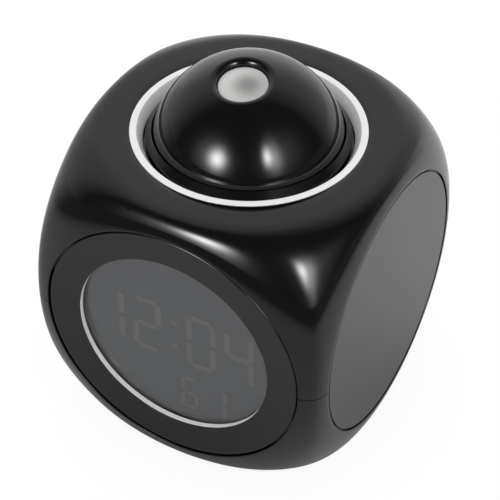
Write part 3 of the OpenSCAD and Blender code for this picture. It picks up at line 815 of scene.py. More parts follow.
def evaluated(obj):
    """The mesh that an object's modifiers make; the object and its own mesh are removed."""
    graph = bpy.context.evaluated_depsgraph_get()
    made = bpy.data.meshes.new_from_object(obj.evaluated_get(graph), depsgraph=graph)
    mesh = obj.data
    bpy.data.objects.remove(obj)
    bpy.data.meshes.remove(mesh)
    return made


def shaped_by(tree, mesh, values, place):
    """The mesh that a Geometry Nodes tree makes of a mesh, in metres and in its place."""
    obj = bpy.data.objects.new("shaping", mesh)
    bpy.context.scene.collection.objects.link(obj)
    modifier = obj.modifiers.new("shape", "NODES")
    modifier.node_group = tree
    for item in tree.interface.items_tree:
        if item.in_out == "INPUT" and item.name in values:
            modifier[item.identifier] = values[item.name]
    made = evaluated(obj)
    where = place.copy()
    where.translation *= MM
    made.transform(where)
    return made


def flat_and_round(mesh):
    """Sharp edges past an angle, and the big flats weigh most in the corner normals."""
    mesh.shade_smooth()
    mesh.set_sharp_from_angle(angle=SHARP)
    obj = bpy.data.objects.new("weighing", mesh)
    bpy.context.scene.collection.objects.link(obj)
    modifier = obj.modifiers.new("weigh", "WEIGHTED_NORMAL")
    modifier.keep_sharp = True
    modifier.weight = 100
    return evaluated(obj)


def panel_tree():
    """Cuts the speaker's perforation, the row of button holes, the switch's slot and the
    jack's hole through a disc."""
    length = "NodeSocketFloat"
    tree, given = node_tree("rear_openings", [
        ("Hole radius", length), ("Hole pitch", length), ("Speaker height", length),
        ("Button radius", length), ("Button pitch", length), ("Button height", length),
        ("Slot width", length), ("Slot depth", length), ("Slot place", length),
        ("Slot height", length), ("Jack radius", length), ("Jack place", length),
        ("Material", "NodeSocketMaterial")])

    def maths(operation, a, b):
        return add(tree, "ShaderNodeMath", {"operation": operation}, {0: a, 1: b}).outputs[0]

    def spot(x=0.0, y=0.0):
        return add(tree, "ShaderNodeCombineXYZ", {}, {0: x, 1: y}).outputs[0]

    def placed(mesh, where):
        return add(tree, "GeometryNodeTransform", {},
                   {"Geometry": mesh, "Translation": where}).outputs[0]

    deep = 12 * MM
    # A square grid leaned over into a hexagonal one, and cut off just past three pitches
    rows, reach_in_pitches = 7, 3.1
    side = maths("MULTIPLY", given["Hole pitch"], rows - 1.0)
    grid = add(tree, "GeometryNodeMeshGrid", {},
               {"Size X": side, "Size Y": side, "Vertices X": rows, "Vertices Y": rows})
    at = add(tree, "ShaderNodeSeparateXYZ", {},
             {0: add(tree, "GeometryNodeInputPosition").outputs[0]})
    leaned = spot(maths("ADD", at.outputs[0], maths("MULTIPLY", at.outputs[1], 0.5)),
                  maths("MULTIPLY", at.outputs[1], math.sqrt(3) / 2))
    hexes = add(tree, "GeometryNodeSetPosition", {},
                {"Geometry": grid.outputs["Mesh"], "Position": leaned})
    reach = add(tree, "ShaderNodeVectorMath", {"operation": "LENGTH"},
                {0: add(tree, "GeometryNodeInputPosition").outputs[0]})
    far = add(tree, "FunctionNodeCompare", {"operation": "GREATER_THAN"},
              {0: reach.outputs["Value"],
               1: maths("MULTIPLY", given["Hole pitch"], reach_in_pitches)})
    kept = add(tree, "GeometryNodeDeleteGeometry", {"domain": "POINT"},
               {"Geometry": hexes.outputs[0], "Selection": far.outputs[0]})
    drill = add(tree, "GeometryNodeMeshCylinder", {},
                {"Vertices": 24, "Radius": given["Hole radius"], "Depth": deep})
    drilled = set_out(tree, kept.outputs[0], drill.outputs["Mesh"])
    perforation = placed(drilled, spot(0.0, given["Speaker height"]))

    line = add(tree, "GeometryNodeMeshLine", {"mode": "OFFSET"},
               {"Count": 5, "Start Location": spot(maths("MULTIPLY", given["Button pitch"], -2.0),
                                                   given["Button height"]),
                "Offset": spot(given["Button pitch"])})
    bore = add(tree, "GeometryNodeMeshCylinder", {},
               {"Vertices": 48, "Radius": given["Button radius"], "Depth": deep})
    buttons = set_out(tree, line.outputs[0], bore.outputs["Mesh"])
    slot = add(tree, "GeometryNodeMeshCube", {},
               {"Size": add(tree, "ShaderNodeCombineXYZ", {},
                            {0: given["Slot width"], 1: given["Slot depth"],
                             2: deep}).outputs[0]})
    slot_there = placed(slot.outputs["Mesh"], spot(given["Slot place"], given["Slot height"]))
    jack = add(tree, "GeometryNodeMeshCylinder", {},
               {"Vertices": 48, "Radius": given["Jack radius"], "Depth": deep})
    jack_there = placed(jack.outputs["Mesh"], spot(given["Jack place"], given["Slot height"]))

    tools = add(tree, "GeometryNodeJoinGeometry")
    for mesh in (perforation, buttons, slot_there, jack_there):
        tree.links.new(mesh, tools.inputs[0])
    return end_tree(tree, given, cut_away(tree, given, tools.outputs[0]))


def build_rear(sizes, colours):
    """The rear panel with its openings, the five buttons, the switch's knob and the jack."""
    finish = bezel_abs(colours)
    disc = seat_disc(SEAT_R, SEAT_GAP, PANEL_RECESS, PANEL_SOFT)
    panel = shaped_by(panel_tree(), mesh_of("rear_panel", disc), {
        "Hole radius": sizes.hole_radius, "Hole pitch": sizes.hole_pitch,
        "Speaker height": SPEAKER_Z * MM, "Button radius": BUTTON_HOLE_R * MM,
        "Button pitch": BUTTON_PITCH * MM, "Button height": BUTTON_Z * MM,
        "Slot width": SWITCH_SLOT[0] * MM, "Slot depth": SWITCH_SLOT[1] * MM,
        "Slot place": SWITCH[0] * MM, "Slot height": SWITCH[1] * MM,
        "Jack radius": JACK_HOLE_R * MM, "Jack place": JACK_X * MM, "Material": finish}, REAR)
    piece("rear_panel_form", flat_and_round(panel), finish, "housing", "satin_black",
          "rear_panel")
    build_buttons()
    build_switch_knob()
    build_jack()


def build_buttons():
    """The five push buttons, each with the flange that keeps it behind the panel."""
    low, flange_low, flange_high = -2.65, -2.4, -1.7
    key = lathe([(0, low), (BUTTON_R, low), (BUTTON_R, flange_low), (BUTTON_FLANGE_R, flange_low),
                 (BUTTON_FLANGE_R, flange_high), (BUTTON_R, flange_high), (BUTTON_R, 0.0, 0.35),
                 (0, -0.05)])
    for name, i in (("mode", 2), ("set", 1), ("up", 0), ("down", -1), ("alarm", -2)):
        place = REAR @ Matrix.Translation((i * BUTTON_PITCH, BUTTON_Z, 0))
        piece("button_" + name + "_form", mesh_of("button_" + name, key, place),
              button_abs(), name + "_button", "button_black", "button_" + name)


def build_switch_knob():
    """The projection switch's knob at one end of its slot, with its stem and, flush with the
    knob's top, three ribs."""
    x, y = SWITCH[0] - SWITCH_TRAVEL / 2, SWITCH[1]
    knob_half, stem_half, rib_half, rib_pitch = 1.3, (1.0, 0.9), (0.15, 1.15), 0.75
    knob_top, knob_low, stem_low = -0.4, -2.8, -5.3
    knob = join(
        box((x - knob_half, y - knob_half, knob_low), (x + knob_half, y + knob_half, knob_top),
            0.25),
        box((x - stem_half[0], y - stem_half[1], stem_low),
            (x + stem_half[0], y + stem_half[1], knob_low + 0.1), 0.1),
        *[box((rib - rib_half[0], y - rib_half[1], knob_top - 0.1),
              (rib + rib_half[0], y + rib_half[1], knob_top), 0.04)
          for rib in (x - 0.5 + rib_pitch * k for k in range(3))])
    piece("switch_knob_form", mesh_of("switch_knob", knob, REAR), button_abs(),
          "projection_switch", "button_black", "switch_knob")


def build_jack():
    """The power jack: a round socket with a pin in it."""
    low, floor, top, bore, pin_r = -9.0, -7.5, -0.4, 2.75, 0.65
    socket = lathe([(0, low), (JACK_R, low), (JACK_R, top, 0.2), (bore, top, 0.15),
                    (bore, floor), (0, floor)])
    pin = lathe([(0, floor - 0.1), (pin_r, floor - 0.1), (pin_r, -2.0, 0.3), (0, -2.0)], 24)
    jack = moved(join(socket, pin), Matrix.Translation((JACK_X, SWITCH[1], 0)))
    piece("dc_jack_form", mesh_of("dc_jack", jack, REAR), part_abs(), "housing", "part_black",
          "dc_jack")


def button_abs():
    """ABS key caps, lightly eroded: near black, a little duller than the case."""
    return surface("eroded_key_abs", "#1e1e1f", 0.38, grain=0.3, depth=0.003, IOR=1.5)


def part_abs():
    """Glass-filled nylon and epoxy of the hidden parts: black, dull, slightly streaked."""
    return surface("glass_filled_nylon", "#161616", 0.5, grain=0.4, depth=0.006, shade=0.15)


# ---- Base ----

def groove_tree():
    """Cuts a row of grooves into a door."""
    length = "NodeSocketFloat"
    tree, given = node_tree("grip_grooves", [
        ("Count", "NodeSocketInt"), ("Pitch", length), ("Width", length), ("Length", length),
        ("First", length), ("Height", length), ("Material", "NodeSocketMaterial")])
    start = add(tree, "ShaderNodeCombineXYZ", {},
                {1: given["First"], 2: given["Height"]}).outputs[0]
    step = add(tree, "ShaderNodeCombineXYZ", {},
               {1: add(tree, "ShaderNodeMath", {"operation": "MULTIPLY"},
                       {0: given["Pitch"], 1: -1.0}).outputs[0]}).outputs[0]
    line = add(tree, "GeometryNodeMeshLine", {"mode": "OFFSET"},
               {"Count": given["Count"], "Start Location": start, "Offset": step})
    tool = add(tree, "GeometryNodeMeshCube", {},
               {"Size": add(tree, "ShaderNodeCombineXYZ", {},
                            {0: given["Length"], 1: given["Width"],
                             2: given["Width"]}).outputs[0]})
    tools = set_out(tree, line.outputs[0], tool.outputs["Mesh"])
    return end_tree(tree, given, cut_away(tree, given, tools))


def foot_tree():
    """Sets a pad at the four corners of a rectangle."""
    length = "NodeSocketFloat"
    tree, given = node_tree("four_feet", [
        ("Across", length), ("Along", length), ("Material", "NodeSocketMaterial")])
    grid = add(tree, "GeometryNodeMeshGrid", {},
               {"Size X": given["Across"], "Size Y": given["Along"],
                "Vertices X": 2, "Vertices Y": 2})
    return end_tree(tree, given, set_out(tree, grid.outputs["Mesh"], given["Geometry"]))


def rubber():
    """Silicone pads: black and dull, with a fine dusty tooth."""
    return surface("moulded_silicone_pad", "#1a1a1a", 0.7, grain=0.4, depth=0.01, shade=0.12)


def rod(half, r, soft, segments):
    """A round bar along Z with soft ends."""
    return lathe([(0, -half), (r, -half, soft), (r, half, soft), (0, half)], segments)


def build_base(sizes, colours):
    """The battery door with its grip, and the four feet."""
    gloss = gloss_abs(colours)
    half, low = BAY[0] - DOOR_GAP, HINGE_Z - DOOR_LEAF / 2
    hinge = Matrix.Translation((0, HINGE_Y, HINGE_Z)) @ Matrix.Rotation(math.pi / 2, 4, "Y")
    barrel, pins = rod(half, 1.1, 0.15, 32), rod(half + 1.7, 0.6, 0.1, 24)
    leaf = box((-half, HINGE_Y, low), (half, BAY[1] - DOOR_GAP, low + DOOR_LEAF), 0.25)
    door = shaped_by(groove_tree(), mesh_of("battery_door", leaf), {
        "Count": sizes.groove_count, "Pitch": GROOVE_PITCH * MM, "Width": GROOVE_W * MM,
        "Length": GROOVE_LENGTH * MM, "First": 14.05 * MM, "Height": (low + 0.05) * MM,
        "Material": gloss}, UP)
    door = flat_and_round(door)
    hinge_mesh = mesh_of("door_hinge", join(barrel, pins), hinge)
    bm = bmesh.new()
    bm.from_mesh(door)
    bm.from_mesh(hinge_mesh)
    bpy.data.meshes.remove(hinge_mesh)
    bm.to_mesh(door)
    bm.free()
    door.shade_smooth()
    door.set_sharp_from_angle(angle=SHARP)
    piece("battery_door_form", door, gloss, "door", "gloss_black", "battery_door")
    pad_r, pad_top = FOOT_R - 0.05, BASE_Z + FOOT_POCKET
    pad = lathe([(0, 0), (pad_r, 0, 0.25), (pad_r, pad_top), (0, pad_top)], 48)
    feet = shaped_by(foot_tree(), mesh_of("feet", pad), {
        "Across": 2 * FEET[0] * MM, "Along": 2 * FEET[1] * MM, "Material": rubber()}, UP)
    piece("feet_form", feet, rubber(), "housing", "foot_rubber", "feet")


# ---- Head ----

def lens_acrylic():
    """Frosted acrylic lens: off-white at its rim, greyed round an off-axis spot by painted shade
    of the dark tube behind it.
    """
    mat, tree = new_material("frosted_acrylic_lens_painted_shade")
    if tree is None:
        return mat
    place = add(tree, "ShaderNodeTexCoord").outputs["Object"]
    # Distance from the middle of the painted shade, which lies a little off the lens's axis
    clear = BALL @ Vector((1.3, 0.1, 20))
    centred = add(tree, "ShaderNodeVectorMath", {"operation": "SUBTRACT"},
                  {0: place, 1: clear * MM})
    axis = BALL.to_3x3() @ Vector((0, 0, 1))
    along = add(tree, "ShaderNodeVectorMath", {"operation": "CROSS_PRODUCT"},
                {0: centred.outputs[0], 1: axis})
    off = add(tree, "ShaderNodeVectorMath", {"operation": "LENGTH"}, {0: along.outputs[0]})
    ramp = soft_range(tree, off.outputs["Value"], 0.5 * MM, 6.2 * MM)
    tint = add(tree, "ShaderNodeMix", {"data_type": "RGBA"},
               {0: ramp, 6: linear("#8b8a89"), 7: linear("#d8d7d6")})
    frost = add(tree, "ShaderNodeTexNoise", {}, {"Vector": place, "Scale": 1000 / 0.2})
    bump = add(tree, "ShaderNodeBump", {},
               {"Height": frost.outputs["Fac"], "Distance": 0.002 * MM})
    shader = add(tree, "ShaderNodeBsdfPrincipled", {},
                 {"Base Color": tint.outputs[2], "Roughness": 0.3, "IOR": 1.49,
                  "Normal": bump.outputs["Normal"]})
    add(tree, "ShaderNodeOutputMaterial", {}, {"Surface": shader.outputs[0]})
    return mat


def build_ring(colours):
    """The white ring round the top opening, with its flange under the case's top."""
    outer, throat, flange, flange_low, under = RING_R - 0.07, 25.1, 30.4, 75.2, TOP_Z - WALL
    ring = lathe([
        (26.45, TOP_Z, 0.2), (throat, under), (throat, flange_low), (flange, flange_low),
        (flange, under - TOP_EDGE), (outer, under - TOP_EDGE), (outer, TOP_Z, 0.15)], ROUND)
    piece("light_ring_form", mesh_of("light_ring", ring), ring_abs(colours), "housing",
          "ring_white", "light_ring")


def build_collar(gloss):
    """The thin collar round the ball, whose lip falls away from the ball as a cone."""
    lip_r, lip_outer, lip_top, lip_low, cone = BALL_R + 0.25, 24.5, 78.05, 74.3, 1.5
    wall_in, wall_out, foot, shoulder = 25.4, 26.8, 59.8, 75.0
    groove_r, groove_low = wall_in - 0.1, 72.4
    high, low = (math.degrees(math.asin((z - BALL_Z) / lip_r)) for z in (lip_top, lip_low))
    lip_inner = lip_r * math.cos(math.radians(high)) + 0.08
    collar = lathe([
        (lip_outer, lip_top - cone, 0.12), (lip_inner, lip_top, 0.03),
        *arc((0, BALL_Z), lip_r, high, low, 6)[1:],
        (wall_in, lip_low), (wall_in, foot), (wall_out, foot), (wall_out, shoulder, 0.3),
        (groove_r, shoulder), (groove_r, groove_low), (lip_outer, groove_low)], ROUND)
    piece("collar_form", mesh_of("collar", collar), gloss, "head", "gloss_black", "collar")


def build_ball(gloss):
    """The two halves of the hollow ball; the upper one meets its lens hole in a soft rim."""
    hole, bore, bore_z, soft = 6.1, 6.3, 20.69, 1.3
    split, skirt_end, inner, segments = -4.0, -13.0, BALL_R - BALL_WALL, 128
    rim = hole + soft
    lift = math.sqrt((BALL_R - soft) ** 2 - rim ** 2)
    turn = math.degrees(math.atan2(lift, rim))
    i_hole = math.degrees(math.acos(bore / inner))
    o_split, o_end = (math.degrees(math.asin(z / BALL_R)) for z in (split, skirt_end))
    i_split, i_end = (math.degrees(math.asin(z / inner)) for z in (split, skirt_end))
    cap = lathe([
        *arc((0, 0), BALL_R, o_split, turn, 44)[:-1], *arc((rim, lift), soft, turn, 180, 8),
        (hole, bore_z), (bore, bore_z), *arc((0, 0), inner, i_hole, i_split, 20)], segments)
    piece("ball_cap_form", mesh_of("ball_cap", cap, BALL), gloss, "ball", "gloss_black",
          "ball_cap")
    skirt = lathe([*arc((0, 0), BALL_R, o_end, o_split, 14),
                   *arc((0, 0), inner, i_split, i_end, 8)], segments)
    piece("ball_skirt_form", mesh_of("ball_skirt", skirt, BALL), gloss, "ball",
          "gloss_black", "ball_skirt")


def build_lens():
    """The projector's lens, with a slightly domed front."""
    r, crown, low, high = 5.8, 28.0, 18.0, 21.05
    centre = high - crown
    edge = centre + math.sqrt(crown ** 2 - r ** 2)
    start = math.degrees(math.acos(r / crown))
    lens = lathe([(0, low), (r, low), (r, edge), *arc((0, centre), crown, start, 90, 10)[1:]], 96)
    piece("projector_lens_form", mesh_of("projector_lens", lens, BALL), lens_acrylic(),
          "ball", "lens_frost", "projector_lens")


def build_head(colours):
    """The white ring, the collar, the two halves of the ball and its lens."""
    gloss = gloss_abs(colours)
    build_ring(colours)
    build_collar(gloss)
    build_ball(gloss)
    build_lens()


def spring_steel():
    """Drawn and pressed steel of springs and contacts: light grey, with a fine drawn grain."""
    return surface("drawn_spring_steel", "#b9bbbe", 0.28, grain=0.15, depth=0.002,
                   Metallic=1.0)


def coil(centre, low, high, steps=24, sides=8):
    """A round spring's wire between two heights, as points and faces."""
    count = SPRING_TURNS * steps
    points, faces = [], []
    for i in range(count + 1):
        around = math.tau * i / steps
        z = low + SPRING_WIRE + (high - low - 2 * SPRING_WIRE) * i / count
        for k in range(sides):
            b = math.tau * k / sides
            r = SPRING_R + SPRING_WIRE * math.cos(b)
            points.append(centre + Vector((r * math.cos(around), r * math.sin(around),
                                           z + SPRING_WIRE * math.sin(b))))
    for here in range(0, count * sides, sides):
        there = here + sides
        for k in range(sides):
            m = (k + 1) % sides
            faces.append((here + k, there + k, there + m, here + m))
    end = count * sides
    faces += [tuple(range(sides)), tuple(reversed(range(end, end + sides)))]
    return points, faces


def build_springs():
    """The head's four return springs, as still coils; the real ones shorten as the head is
    pressed.
    """
    low, high = (corner[2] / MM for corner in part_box("head_springs"))
    points, faces = [], []
    for corner in (45, 135, 225, 315):
        centre = Matrix.Rotation(math.radians(corner), 3, "Z") @ Vector((SPRING_RING, 0, 0))
        more, sides = coil(centre, low, high)
        faces += [[i + len(points) for i in face] for face in sides]
        points += more
    mesh = bpy.data.meshes.new("head_springs")
    mesh.from_pydata([p * MM for p in points], [], faces)
    mesh.shade_smooth()
    springs = piece("head_springs_wire", mesh, spring_steel(), "housing", "steel",
                    "head_springs")
    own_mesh(springs)


# ---- Parts that stay as the solids are ----

def zinc():
    """Bright zinc on screws: pale grey metal, a little cloudy."""
    return surface("zinc_plated_steel", "#b0b1b3", 0.35, grain=0.3, depth=0.003, Metallic=1.0)


def tin():
    """Pressed tinned cans of the switches: warm pale metal."""
    return surface("pressed_tin_can", "#c2c2be", 0.33, grain=0.5, depth=0.003, Metallic=1.0)


def circuit_board():
    """Epoxy board under solder mask: green, glossy, with faint lighter and darker patches."""
    return surface("solder_masked_epoxy_board", "#1d5a33", 0.3, grain=0.9, depth=0.006,
                   shade=0.14)


def basket_steel():
    """The loudspeaker's painted steel basket: mid grey with a soft gloss."""
    return surface("painted_steel_basket", "#5a5d61", 0.4, grain=0.5, depth=0.006)


def cell_wrap():
    """Shrink wrap of the cells: plain green and smooth."""
    return surface("plain_wrapped_cell", "#2c7448", 0.3, grain=1.5, depth=0.002)


def crystal_glass(colours):
    """The display's ground: a smooth grey that doesn't shine."""
    return surface("dark_crystal_glass", colours.display, 0.45, grain=2.0, depth=0.0002,
                   shade=0.03)


def crystal_segments(colours):
    """The display's segments: a paler grey than its ground."""
    return surface("crystal_segments", colours.numerals, 0.5, grain=2.0, depth=0.0002,
                   shade=0.03)


def light_guide():
    """Milky acrylic behind the display: bluish white, with a soft gloss."""
    return surface("milky_acrylic_guide", "#dfe6ea", 0.35, grain=0.6, depth=0.002)


def contact_rubber():
    """The display's contact strip: dull brown silicone with a fine dark grain."""
    return surface("layered_silicone_strip", "#53403f", 0.6, grain=0.1, depth=0.01, shade=0.3)


def condenser_acrylic():
    """The clear condenser lens in the ball: smooth and nearly colourless."""
    return surface("clear_moulded_lens", "#dfe6ea", 0.05, grain=2.0, depth=0.0005,
                   Transmission_Weight=0.9)


def red_film():
    """The number film in its glass: dark red and glossy."""
    return surface("red_film_in_glass", "#7a2a24", 0.2, grain=0.5, depth=0.001)


def red_epoxy():
    """The lamp's epoxy body: bright red, almost polished."""
    return surface("red_epoxy_lamp", "#a81c1c", 0.12, grain=1.0, depth=0.001)


def build_inside(colours):
    """Materials for the CAD nodes that stay as they are, then the head's springs."""
    finishes = (
        (crystal_glass(colours), ("display_glass",)),
        (crystal_segments(colours), ("display_numerals",)),
        (light_guide(), ("backlight",)),
        (contact_rubber(), ("contact_strip",)),
        (circuit_board(), ("main_board", "button_board", "lamp_board")),
        (part_abs(), ("board_parts", "inner_frame", "head_base", "swivel_ring", "lens_tube")),
        (tin(), ("tact_switches", "snooze_switch", "switch_housing")),
        (basket_steel(), ("speaker",)),
        (cell_wrap(), ("batteries",)),
        (spring_steel(), ("battery_springs", "battery_plates", "tilt_pins")),
        (zinc(), ("case_screws", "tube_screws")),
        (condenser_acrylic(), ("condenser_lens",)),
        (red_film(), ("number_film",)),
        (red_epoxy(), ("projector_lamp",)),
    )
    for finish, names in finishes:
        for name in names:
            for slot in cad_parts[name].material_slots:
                slot.material = finish
    build_springs()


# ---- Stage ----

# The two soft boxes, as soft spots: azimuth, elevation, spread across and up, strength
STRIPS = (
    (-10.2, 17.2, 6.4, 6.7, 20.8), (-15.4, 16.5, 13.0, 11.5, 2.3),
    (51.2, 24.3, 3.5, 6.5, 17.4), (59.0, 21.9, 6.0, 10.6, 5.5), (66.9, 22.0, 16.6, 14.3, 0.8),
)

# The studio's front, as an azimuth in degrees, and its grey from the middle to the back, as
# (cosine of the angle off the back's direction, grey)
FRONT_AZ = 28
BACKDROP = ((0.04, 0.074), (0.18, 0.242), (0.45, 0.561), (0.70, 0.643), (0.96, 0.966))


def build_world(scene):
    """White for the camera, and white light; reflections show a studio with two soft boxes."""
    world = bpy.data.worlds.new("studio")
    scene.world = world
    world.use_nodes = True
    tree = world.node_tree
    tree.nodes.clear()

    def maths(operation, a, b=0.0):
        return add(tree, "ShaderNodeMath", {"operation": operation}, {0: a, 1: b}).outputs[0]

    ray = add(tree, "ShaderNodeTexCoord").outputs["Generated"]
    at = add(tree, "ShaderNodeSeparateXYZ", {}, {0: ray})
    azimuth = maths("ARCTAN2", at.outputs[0], maths("MULTIPLY", at.outputs[1], -1.0))
    height = maths("ARCSINE", at.outputs[2])
    spot = add(tree, "ShaderNodeCombineXYZ", {}, {0: azimuth, 1: height}).outputs[0]
    az = math.radians(FRONT_AZ)
    facing = add(tree, "ShaderNodeVectorMath", {"operation": "DOT_PRODUCT"},
                 {0: ray, 1: (math.sin(az), -math.cos(az), 0)})
    # Dark in front, white behind the clock
    ramp = add(tree, "ShaderNodeValToRGB", {},
               {"Fac": maths("MULTIPLY", facing.outputs["Value"], -1.0)})
    stops = ramp.color_ramp.elements
    for at_dot, value in BACKDROP[2:]:
        stops.new(at_dot)
    for stop, (at_dot, value) in zip(stops, BACKDROP):
        stop.position = at_dot
        stop.color = (value, value, value, 1)
    light = ramp.outputs["Color"]
    for azim, elev, across, up, strength in STRIPS:
        off = add(tree, "ShaderNodeVectorMath", {"operation": "SUBTRACT"},
                  {0: spot, 1: (math.radians(azim), math.radians(elev), 0)})
        scaled = add(tree, "ShaderNodeVectorMath", {"operation": "MULTIPLY"},
                     {0: off.outputs[0],
                      1: (1 / math.radians(across), 1 / math.radians(up), 0)})
        square = add(tree, "ShaderNodeVectorMath", {"operation": "DOT_PRODUCT"},
                     {0: scaled.outputs[0], 1: scaled.outputs[0]})
        bell = maths("EXPONENT", maths("MULTIPLY", square.outputs["Value"], -0.5))
        light = maths("ADD", light, maths("MULTIPLY", bell, strength))
    path = add(tree, "ShaderNodeLightPath")
    reflected = add(tree, "ShaderNodeBackground", {}, {0: light, 1: 1.0})
    white = add(tree, "ShaderNodeBackground", {}, {0: (1, 1, 1, 1), 1: 1.0})
    mixed = add(tree, "ShaderNodeMixShader", {},
                {0: path.outputs["Is Glossy Ray"], 1: white.outputs[0], 2: reflected.outputs[0]})
    seen = maths("MAXIMUM", path.outputs["Is Camera Ray"], path.outputs["Is Transmission Ray"])
    out = add(tree, "ShaderNodeMixShader", {},
              {0: seen, 1: mixed.outputs[0], 2: white.outputs[0]})
    add(tree, "ShaderNodeOutputWorld", {}, {"Surface": out.outputs[0]})
    world.cycles.sampling_method = "NONE"


def build_floor(scene):
    """A pale paper sweep: the camera sees it white, with a trace of the clock's shadow; elsewhere
    its colour is painted light, paler at the back and far right, darker in front.
    """
    mesh = bpy.data.meshes.new("floor")
    bm = bmesh.new()
    bmesh.ops.create_grid(bm, x_segments=8, y_segments=8, size=4.0,
                          matrix=Matrix.Translation((0, 0, -0.02 * MM)))
    bm.to_mesh(mesh)
    bm.free()
    mat, tree = new_material("matt_white_paper_painted_light")
    place = add(tree, "ShaderNodeTexCoord").outputs["Object"]
    # Painted light: the paper's far right is paler than its front
    depth = add(tree, "ShaderNodeVectorMath", {"operation": "DOT_PRODUCT"},
                {0: place, 1: (0.35, 0.65, 0)})
    painted_light_tone = soft_range(tree, depth.outputs["Value"], -0.05, 0.07, 0.58, 0.85)
    # Painted light: far out, the paper is bright at the back only and dark in front
    reach = add(tree, "ShaderNodeVectorMath", {"operation": "LENGTH"}, {0: place})
    near = soft_range(tree, reach.outputs["Value"], 0.2, 0.45, 1.0, 0.0)
    heading = add(tree, "ShaderNodeVectorMath", {"operation": "NORMALIZE"}, {0: place})
    away = add(tree, "ShaderNodeVectorMath", {"operation": "DOT_PRODUCT"},
               {0: heading.outputs[0], 1: (-0.47, 0.88, 0)})
    back = soft_range(tree, away.outputs["Value"], 0.1, 0.6, 0.2, 1.0)
    share = add(tree, "ShaderNodeMath", {"operation": "MAXIMUM"}, {0: near, 1: back})
    lit = add(tree, "ShaderNodeMath", {"operation": "MULTIPLY"}, {0: painted_light_tone, 1: share.outputs[0]})
    paper = add(tree, "ShaderNodeBsdfDiffuse", {}, {0: lit.outputs[0]})
    faint = add(tree, "ShaderNodeBsdfDiffuse", {}, {0: (0.12, 0.12, 0.12, 1)})
    glow = add(tree, "ShaderNodeEmission", {}, {0: (1, 1, 1, 1), 1: 0.91})
    shown = add(tree, "ShaderNodeAddShader", {}, {0: faint.outputs[0], 1: glow.outputs[0]})
    path = add(tree, "ShaderNodeLightPath")
    top = add(tree, "ShaderNodeMixShader", {},
              {0: path.outputs["Is Camera Ray"], 1: paper.outputs[0], 2: shown.outputs[0]})
    # From below, the sheet isn't there, so that the base can be looked at
    clear = add(tree, "ShaderNodeBsdfTransparent")
    side = add(tree, "ShaderNodeNewGeometry")
    out = add(tree, "ShaderNodeMixShader", {},
              {0: side.outputs["Backfacing"], 1: top.outputs[0], 2: clear.outputs[0]})
    add(tree, "ShaderNodeOutputMaterial", {}, {"Surface": out.outputs[0]})
    mesh.materials.append(mat)
    floor = bpy.data.objects.new("floor", mesh)
    scene.collection.objects.link(floor)


# The camera's angles in degrees, and its distance, shift, sensor and focal length in mm
CAMERA_AZ, CAMERA_EL, CAMERA_ROLL = 28.0833, 42.3002, 0.2280
CAMERA_DISTANCE = 458.4
CAMERA_SHIFT = (0.36, -0.10)
SENSOR = 36.0
FOCAL = 132.48111


def build_camera(scene):
    """The camera, above and to the right of the clock's front."""
    az, el, roll = (math.radians(a) for a in (CAMERA_AZ, CAMERA_EL, CAMERA_ROLL))
    back = Vector((math.sin(az) * math.cos(el), -math.cos(az) * math.cos(el), math.sin(el)))
    right = Vector((math.cos(az), math.sin(az), 0))
    up = back.cross(right)
    across = math.cos(roll) * right + math.sin(roll) * up
    upward = -math.sin(roll) * right + math.cos(roll) * up
    place = (Vector((0, 0, MID_Z)) + back * CAMERA_DISTANCE + across * CAMERA_SHIFT[0]
             + upward * CAMERA_SHIFT[1]) * MM
    data = bpy.data.cameras.new("camera")
    data.sensor_width = SENSOR
    data.sensor_fit = "HORIZONTAL"
    data.lens = FOCAL
    data.clip_start, data.clip_end = 0.01, 20
    camera = bpy.data.objects.new("camera", data)
    turn = Matrix((across, upward, back)).transposed()
    camera.matrix_world = Matrix.Translation(place) @ turn.to_4x4()
    scene.collection.objects.link(camera)
    scene.camera = camera


# ---- Operators ----

class CLOCK_OT_shells(bpy.types.Operator):
    """Makes the two glossy shells of the body"""
    bl_idname = "clock.shells"
    bl_label = "Body shells"

    def execute(self, context):
        build_shells(context.scene.clock_sizes, context.scene.clock_colours)
        return {"FINISHED"}


class CLOCK_OT_front(bpy.types.Operator):
    """Makes the bezel, the white ring and the window of the display"""
    bl_idname = "clock.front"
    bl_label = "Display front"

    def execute(self, context):
        build_front(context.scene.clock_colours)
        return {"FINISHED"}


class CLOCK_OT_covers(bpy.types.Operator):
    """Makes the two round side covers"""
    bl_idname = "clock.covers"
    bl_label = "Side covers"

    def execute(self, context):
        build_covers(context.scene.clock_colours)
        return {"FINISHED"}


class CLOCK_OT_rear(bpy.types.Operator):
    """Makes the rear panel, its buttons, its switch and its jack"""
    bl_idname = "clock.rear"
    bl_label = "Rear panel and keys"

    def execute(self, context):
        build_rear(context.scene.clock_sizes, context.scene.clock_colours)
        return {"FINISHED"}


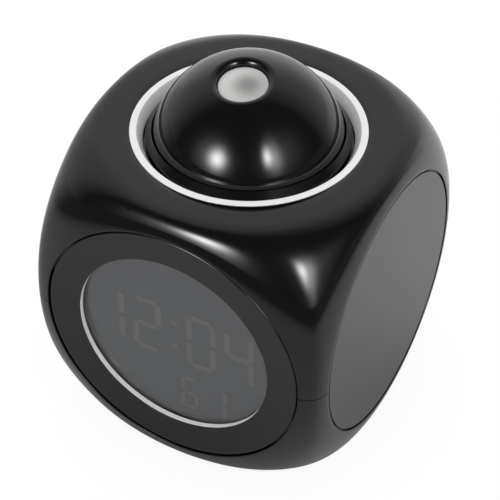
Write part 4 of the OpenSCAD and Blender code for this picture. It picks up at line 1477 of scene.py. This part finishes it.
class CLOCK_OT_base(bpy.types.Operator):
    """Makes the battery door and the feet"""
    bl_idname = "clock.base"
    bl_label = "Battery door and feet"

    def execute(self, context):
        build_base(context.scene.clock_sizes, context.scene.clock_colours)
        return {"FINISHED"}


class CLOCK_OT_head(bpy.types.Operator):
    """Makes the light ring, the collar and the projector ball"""
    bl_idname = "clock.head"
    bl_label = "Projector head"

    def execute(self, context):
        build_head(context.scene.clock_colours)
        return {"FINISHED"}


class CLOCK_OT_inside(bpy.types.Operator):
    """Gives the parts inside their materials and makes the head's springs"""
    bl_idname = "clock.inside"
    bl_label = "Inner parts"

    def execute(self, context):
        build_inside(context.scene.clock_colours)
        return {"FINISHED"}


class CLOCK_OT_stage(bpy.types.Operator):
    """Sets up the floor, the studio light and the camera"""
    bl_idname = "clock.stage"
    bl_label = "Stage"

    def execute(self, context):
        context.scene.view_settings.view_transform = "Standard"
        build_world(context.scene)
        build_floor(context.scene)
        build_camera(context.scene)
        return {"FINISHED"}


class CLOCK_PT_panel(bpy.types.Panel):
    """Lists the clock's settings and steps"""
    bl_idname = "CLOCK_PT_panel"
    bl_label = "Projection clock"
    bl_space_type = "VIEW_3D"
    bl_region_type = "UI"
    bl_category = "Clock"

    def draw(self, context):
        for group in (context.scene.clock_sizes, context.scene.clock_colours):
            for key in group.__annotations__:
                self.layout.prop(group, key)
        for step in STEPS:
            self.layout.operator(step.bl_idname)


STEPS = (CLOCK_OT_stage, CLOCK_OT_shells, CLOCK_OT_front, CLOCK_OT_covers, CLOCK_OT_rear,
         CLOCK_OT_base, CLOCK_OT_head, CLOCK_OT_inside)
CLASSES = (ClockSizes, ClockColours, *STEPS, CLOCK_PT_panel)


def register():
    for cls in CLASSES:
        bpy.utils.register_class(cls)
    bpy.types.Scene.clock_sizes = PointerProperty(type=ClockSizes)
    bpy.types.Scene.clock_colours = PointerProperty(type=ClockColours)


def unregister():
    del bpy.types.Scene.clock_colours
    del bpy.types.Scene.clock_sizes
    for cls in reversed(CLASSES):
        bpy.utils.unregister_class(cls)


def main():
    """Makes the clock step by step."""
    register()
    for step in STEPS:
        group, name = step.bl_idname.split(".")
        getattr(getattr(bpy.ops, group), name)()


if __name__ == "__main__":
    main()
